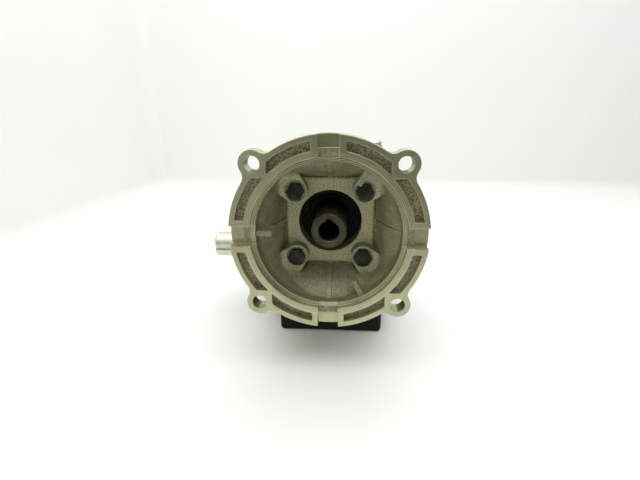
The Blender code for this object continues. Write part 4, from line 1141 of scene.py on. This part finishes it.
def oil_seal(name, node, sizes, matrix):
    """A lip seal: a web with a moulded groove in its back, a case round it and a lip on the shaft."""
    inner, outer, back, mouth = sizes
    web = back + SEAL_WEB
    middle = (back + mouth) / 2
    lip = inner + SEAL_LIP
    case = outer - SEAL_WEB
    groove = (case + lip + SEAL_LIP_HIGH) / 2
    mouth_half, floor_half = SEAL_GROOVE
    outline = [
        (outer - SEAL_EDGE, back),
        (groove + mouth_half, back),
        (groove + floor_half, back + SEAL_EDGE),
        (groove - floor_half, back + SEAL_EDGE),
        (groove - mouth_half, back),
        (lip + SEAL_LIP_HIGH, back),
        (inner, middle),
        (lip, middle + SEAL_LIP_HIGH),
        (lip + SEAL_LIP_HIGH, web),
        (case, web),
        (case, mouth),
        (outer - SEAL_EDGE, mouth),
        (outer, mouth - SEAL_EDGE),
        (outer, back + SEAL_EDGE),
    ]
    seal = placed(spun(outline, FINE), name, matrix)
    return shown(seal, "gearbox", "seal_rubber", node)


# Housing and covers.


def rectangle(low, high, radius, steps=6):
    """A rectangle's outline with round corners."""
    turns = ((high[0], high[1], 0), (low[0], high[1], 1), (low[0], low[1], 2), (high[0], low[1], 3))
    points = []
    for x, y, turn in turns:
        middle_x = x - math.copysign(radius, x - low[0] - radius)
        middle_y = y - math.copysign(radius, y - low[1] - radius)
        points += arc((middle_x, middle_y), radius, turn * QUARTER, (turn + 1) * QUARTER, steps)
    return points


def panel(low, high, matrix, bosses=()):
    """A shallow panel to be sunk in a cast face, whose Z is out; a boss is (x, y, radius) left standing."""
    tool = prism(rectangle(low, high, PANEL_CORNER_R), -PANEL_DEEP, CLEAR, 0.0, 0.8 * MM)
    cutter = placed(tool, "panel", matrix)
    steps = []
    for x, y, radius in bosses:
        standing = cylinder(radius, -4 * MM, 8 * MM, PLAIN, (x, y))
        steps.append(("DIFFERENCE", placed(standing, "boss", matrix)))
    return worked(cutter, steps) if steps else cutter


def housing_panels():
    rear = Matrix.Translation((0, housing_high.y, 0)) @ Matrix.Rotation(-QUARTER, 4, "X")
    plug_bosses = [(middle_of(n).x, -middle_of(n).z, PLUG_BOSS_R) for n in ("level_plug", "drain_plug")]
    right = Matrix.Translation((housing_high.x, 0, 0)) @ Matrix.Rotation(QUARTER, 4, "Y")
    left = Matrix.Translation((housing_low.x, 0, 0)) @ Matrix.Rotation(-QUARTER, 4, "Y")
    top = Matrix.Translation((0, 0, housing_high.z))
    vent = middle_of("vent_plug")
    (low, front), (high, back) = SIDE_PANEL
    return [
        panel(*REAR_PANEL, rear, plug_bosses),
        panel((low, front), (high, back), right),
        panel((-high, front), (-low, back), left),
        panel(*TOP_PANEL, top, [(vent.x, vent.y, VENT_BOSS_R)]),
    ]


def housing():
    """The block: its chamber, its bosses and bores, and every tapped hole."""
    body = placed(block(housing_low, housing_high, HOUSING_EDGE, 4, HOUSING_CORNER), "housing_casting")
    steps = [("DIFFERENCE", tool) for tool in housing_panels()]

    def work(operation, bm, matrix=None):
        steps.append((operation, placed(bm, "tool", matrix)))

    def hole(radius, near, matrix, at, sides=HOLE):
        low, high = sorted((near, math.copysign(OUT_OF_WALL, near)))
        work("DIFFERENCE", cylinder(radius, low, high, sides, at), matrix)

    work("DIFFERENCE", block(CHAMBER_LOW, CHAMBER_HIGH, CHAMBER_EDGE))
    work("UNION", cylinder(*FRONT_BOSS, PLAIN), ON_WORM)
    work("UNION", cylinder(*REAR_BOSS, PLAIN), ON_WORM)
    work("DIFFERENCE", spun(FRONT_BORE, PLAIN), ON_WORM)
    hole(REAR_BORE_R, REAR_BORE_FROM, ON_WORM, (0.0, 0.0), PLAIN)
    for side in (-1, 1):
        hole(SIDE_BORE_R, side * IN_WALL, ON_OUTPUT, (0.0, 0.0), FINE)
    base_x, base_y, base_r, base_deep = BASE_HOLE
    for across, up in corners_of(1.0):
        hole(FLANGE_THREAD_R, -IN_WALL, ON_WORM, (across * TOWER_AT, up * TOWER_AT))
        hole(REAR_HOLE_R, THREAD_END, ON_WORM, (across * REAR_BOLT_HALF, up * REAR_BOLT_HALF))
        for side in (-1, 1):
            hole(SIDE_HOLE_R, side * THREAD_END, ON_OUTPUT, (across * SIDE_BOLT_HALF, up * SIDE_BOLT_HALF))
        work("DIFFERENCE", cylinder(base_r, -CLEAR, base_deep, HOLE, (across * base_x, up * base_y)))
    vent = middle_of("vent_plug")
    vent_foot = CHAMBER_HIGH[2] - CLEAR
    work("DIFFERENCE", cylinder(VENT_THREAD_R, vent_foot, VENT_HOLE_TOP, HOLE, (vent.x, vent.y)))
    for node in ("level_plug", "drain_plug"):
        at = middle_of(node)
        hole(PLUG_THREAD_R, IN_WALL, ON_WORM, (at.x, WORM_Z - at.z), SMALL)
    worked(body, steps)
    return shown(body, "gearbox", "slate_paint", "housing")


def drilled(cover, half, radius, low, high, matrix):
    """The cover with its four bolt holes through it."""
    holes = [cylinder(radius, low, high, HOLE, at) for at in corners_of(half)]
    return worked(cover, [("DIFFERENCE", placed(bm, "hole", matrix)) for bm in holes])


def recessed(recess, outer):
    """The outline of a shallow recess in the middle of a cover's outer face."""
    floor_r, mouth_r, deep = recess
    return [(0.0, outer - deep), (floor_r, outer - deep), (mouth_r, outer)]


def cover_rim(radius, outer, face):
    return [(radius - COVER_EDGE, outer), (radius, outer - COVER_EDGE), (radius, face)]


def rear_cover():
    low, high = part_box("rear_cover")
    outer = high.y
    face = housing_high.y + COVER_OFF
    inner_r, outer_r = REAR_SPIGOT
    outline = recessed(REAR_RECESS, outer) + cover_rim((high.x - low.x) / 2, outer, face)
    outline += [(outer_r, face), (outer_r, low.y), (inner_r, low.y), (inner_r, face), (0.0, face)]
    cover = placed(spun(outline, FINE), "rear_bearing_cover", ON_WORM)
    drilled(cover, REAR_BOLT_HALF, REAR_HOLE_R, THREAD_END, OUT_OF_WALL, ON_WORM)
    return shown(cover, "gearbox", "slate_paint", "rear_cover")


def side_cover(node, name, side):
    """A bearing carrier; the left one, where side is -1, has a boss for the shaft and its seal."""
    low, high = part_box(node)
    face = housing_high.x + COVER_OFF
    outer = face + SIDE_COVER_THICK
    spigot = min(abs(low.x), abs(high.x))
    inner_r, outer_r = SIDE_SPIGOT
    outline = cover_rim((high.y - low.y) / 2, outer, face)
    outline += [(outer_r, face), (outer_r, spigot), (inner_r, spigot), (inner_r, SIDE_COVER_BACK)]
    if side > 0:
        hollow_r, deep = RIGHT_HOLLOW
        outline += [(hollow_r, SIDE_COVER_BACK), (hollow_r, face + deep), (0.0, face + deep)]
        outline = recessed(SIDE_RECESS, outer) + outline
    else:
        outline.append((LEFT_BOSS[0][0], SIDE_COVER_BACK))
        outline += [(r, face + out) for r, out in LEFT_BOSS]
    outline = [(r, side * station) for r, station in outline]
    cover = placed(spun(outline, FINE), name, ON_OUTPUT)
    near, far = sorted((side * THREAD_END, side * OUT_OF_WALL))
    drilled(cover, SIDE_BOLT_HALF, SIDE_HOLE_R, near, far, ON_OUTPUT)
    return shown(cover, "gearbox", "slate_paint", node)


# Setting.


def pale_surface():
    """The room's pale walls and floor."""
    f = Finish("pale_sweep", roughness=0.7)
    cloud = f.noise(0.25, 3.0, 0.5)
    fine = f.noise(2.5 * MM, 2.0, 0.5)
    colour = f.mixed(cloud, (0.86, 0.87, 0.85), (0.89, 0.90, 0.875))
    f.bumps(fine, 0.05 * MM, 0.1)
    return f.done(colour, 0.6 + cloud * 0.1)


def room():
    """The floor with a wall behind and one on the left, their corners rounded into each other."""
    bm = bmesh.new()
    low = Vector((LEFT_WALL_X, ROOM_FRONT, 0.0))
    high = Vector((ROOM_RIGHT, BACK_WALL_Y, ROOM_HIGH))
    bmesh.ops.create_cube(bm, size=1.0)
    bmesh.ops.scale(bm, vec=high - low, verts=bm.verts)
    bmesh.ops.translate(bm, vec=(low + high) / 2, verts=bm.verts)
    bm.faces.ensure_lookup_table()
    kept = [Vector((0, 0, -1)), Vector((0, 1, 0)), Vector((-1, 0, 0))]
    gone = [f for f in bm.faces if not any(f.normal.dot(k) > 0.9 for k in kept)]
    bmesh.ops.delete(bm, geom=gone, context="FACES")
    rounded(bm, [e for e in bm.edges if len(e.link_faces) == 2], ROOM_CORNER, 6)
    bmesh.ops.reverse_faces(bm, faces=bm.faces)
    mesh = bpy.data.meshes.new("pale_room")
    bm.to_mesh(mesh)
    bm.free()
    mesh.shade_smooth()
    mesh.materials.append(pale_surface())
    obj = bpy.data.objects.new("pale_room", mesh)
    bpy.context.scene.collection.objects.link(obj)


def overhead_light():
    """One wide soft light over the object, aimed at the middle of the floor."""
    light = bpy.data.lights.new("overhead", "AREA")
    light.shape = "RECTANGLE"
    light.size, light.size_y = LIGHT_SIZE
    light.energy = LIGHT_POWER
    obj = bpy.data.objects.new("overhead", light)
    obj.location = LIGHT_AT
    obj.rotation_euler = (-Vector(LIGHT_AT)).to_track_quat("-Z", "Y").to_euler()
    bpy.context.scene.collection.objects.link(obj)


def dark_card():
    """The unlit side of the room behind the camera, seen only in reflections."""
    f = Finish("dark_room", roughness=0.9)
    cloud = f.noise(0.4, 2.0, 0.5)
    colour = f.mixed(cloud, (0.03, 0.03, 0.025), (0.06, 0.06, 0.05))
    mesh = bpy.data.meshes.new("dark_room")
    profile = ((CARD_NEAR_Y, CARD_LOW), (CARD_FAR_Y, CARD_LOW), (CARD_FAR_Y, CARD_HIGH))
    corners = [(side * CARD_HALF, y, z) for y, z in profile for side in (-1, 1)]
    mesh.from_pydata(corners, [], [(0, 1, 3, 2), (2, 3, 5, 4)])
    mesh.materials.append(f.done(colour, 0.85 + cloud * 0.1))
    card = bpy.data.objects.new("dark_room", mesh)
    card.visible_camera = False
    card.visible_diffuse = False
    card.visible_shadow = False
    bpy.context.scene.collection.objects.link(card)


def setting():
    room()
    dark_card()
    overhead_light()
    world = bpy.data.worlds.new("soft_room")
    world.use_nodes = True
    background = world.node_tree.nodes["Background"]
    background.inputs["Color"].default_value = ROOM_LIGHT
    background.inputs["Strength"].default_value = ROOM_LIGHT_POWER
    bpy.context.scene.world = world
    bpy.context.scene.view_settings.view_transform = "Standard"
    camera = bpy.data.cameras.new("camera")
    camera.lens = CAMERA_LENS
    camera.sensor_width = CAMERA_SENSOR
    camera.clip_start = 0.01
    obj = bpy.data.objects.new("camera", camera)
    obj.location = CAMERA_AT
    obj.rotation_euler = [math.radians(turn) for turn in CAMERA_TURN]
    bpy.context.scene.collection.objects.link(obj)
    bpy.context.scene.camera = obj


def finish_cad_nodes():
    """Every CAD node that stays takes the finish of its slot."""
    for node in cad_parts.values():
        for slot in node.material_slots:
            stem = slot.material.name.split(".")[0] if slot.material else ""
            if stem in FINISHES:
                slot.material = FINISHES[stem]


finish_cad_nodes()
motor_flange()
housing()
rear_cover()
side_cover("left_cover", "left_bearing_carrier", -1)
side_cover("right_cover", "right_bearing_carrier", 1)
input_shaft()
output_shaft()
oil_seal("input_lip_seal", "input_oil_seal", INPUT_SEAL, ON_WORM)
oil_seal("output_lip_seal", "output_oil_seal", OUTPUT_SEAL, ON_OUTPUT)
all_bolts()
plugs()
setting()
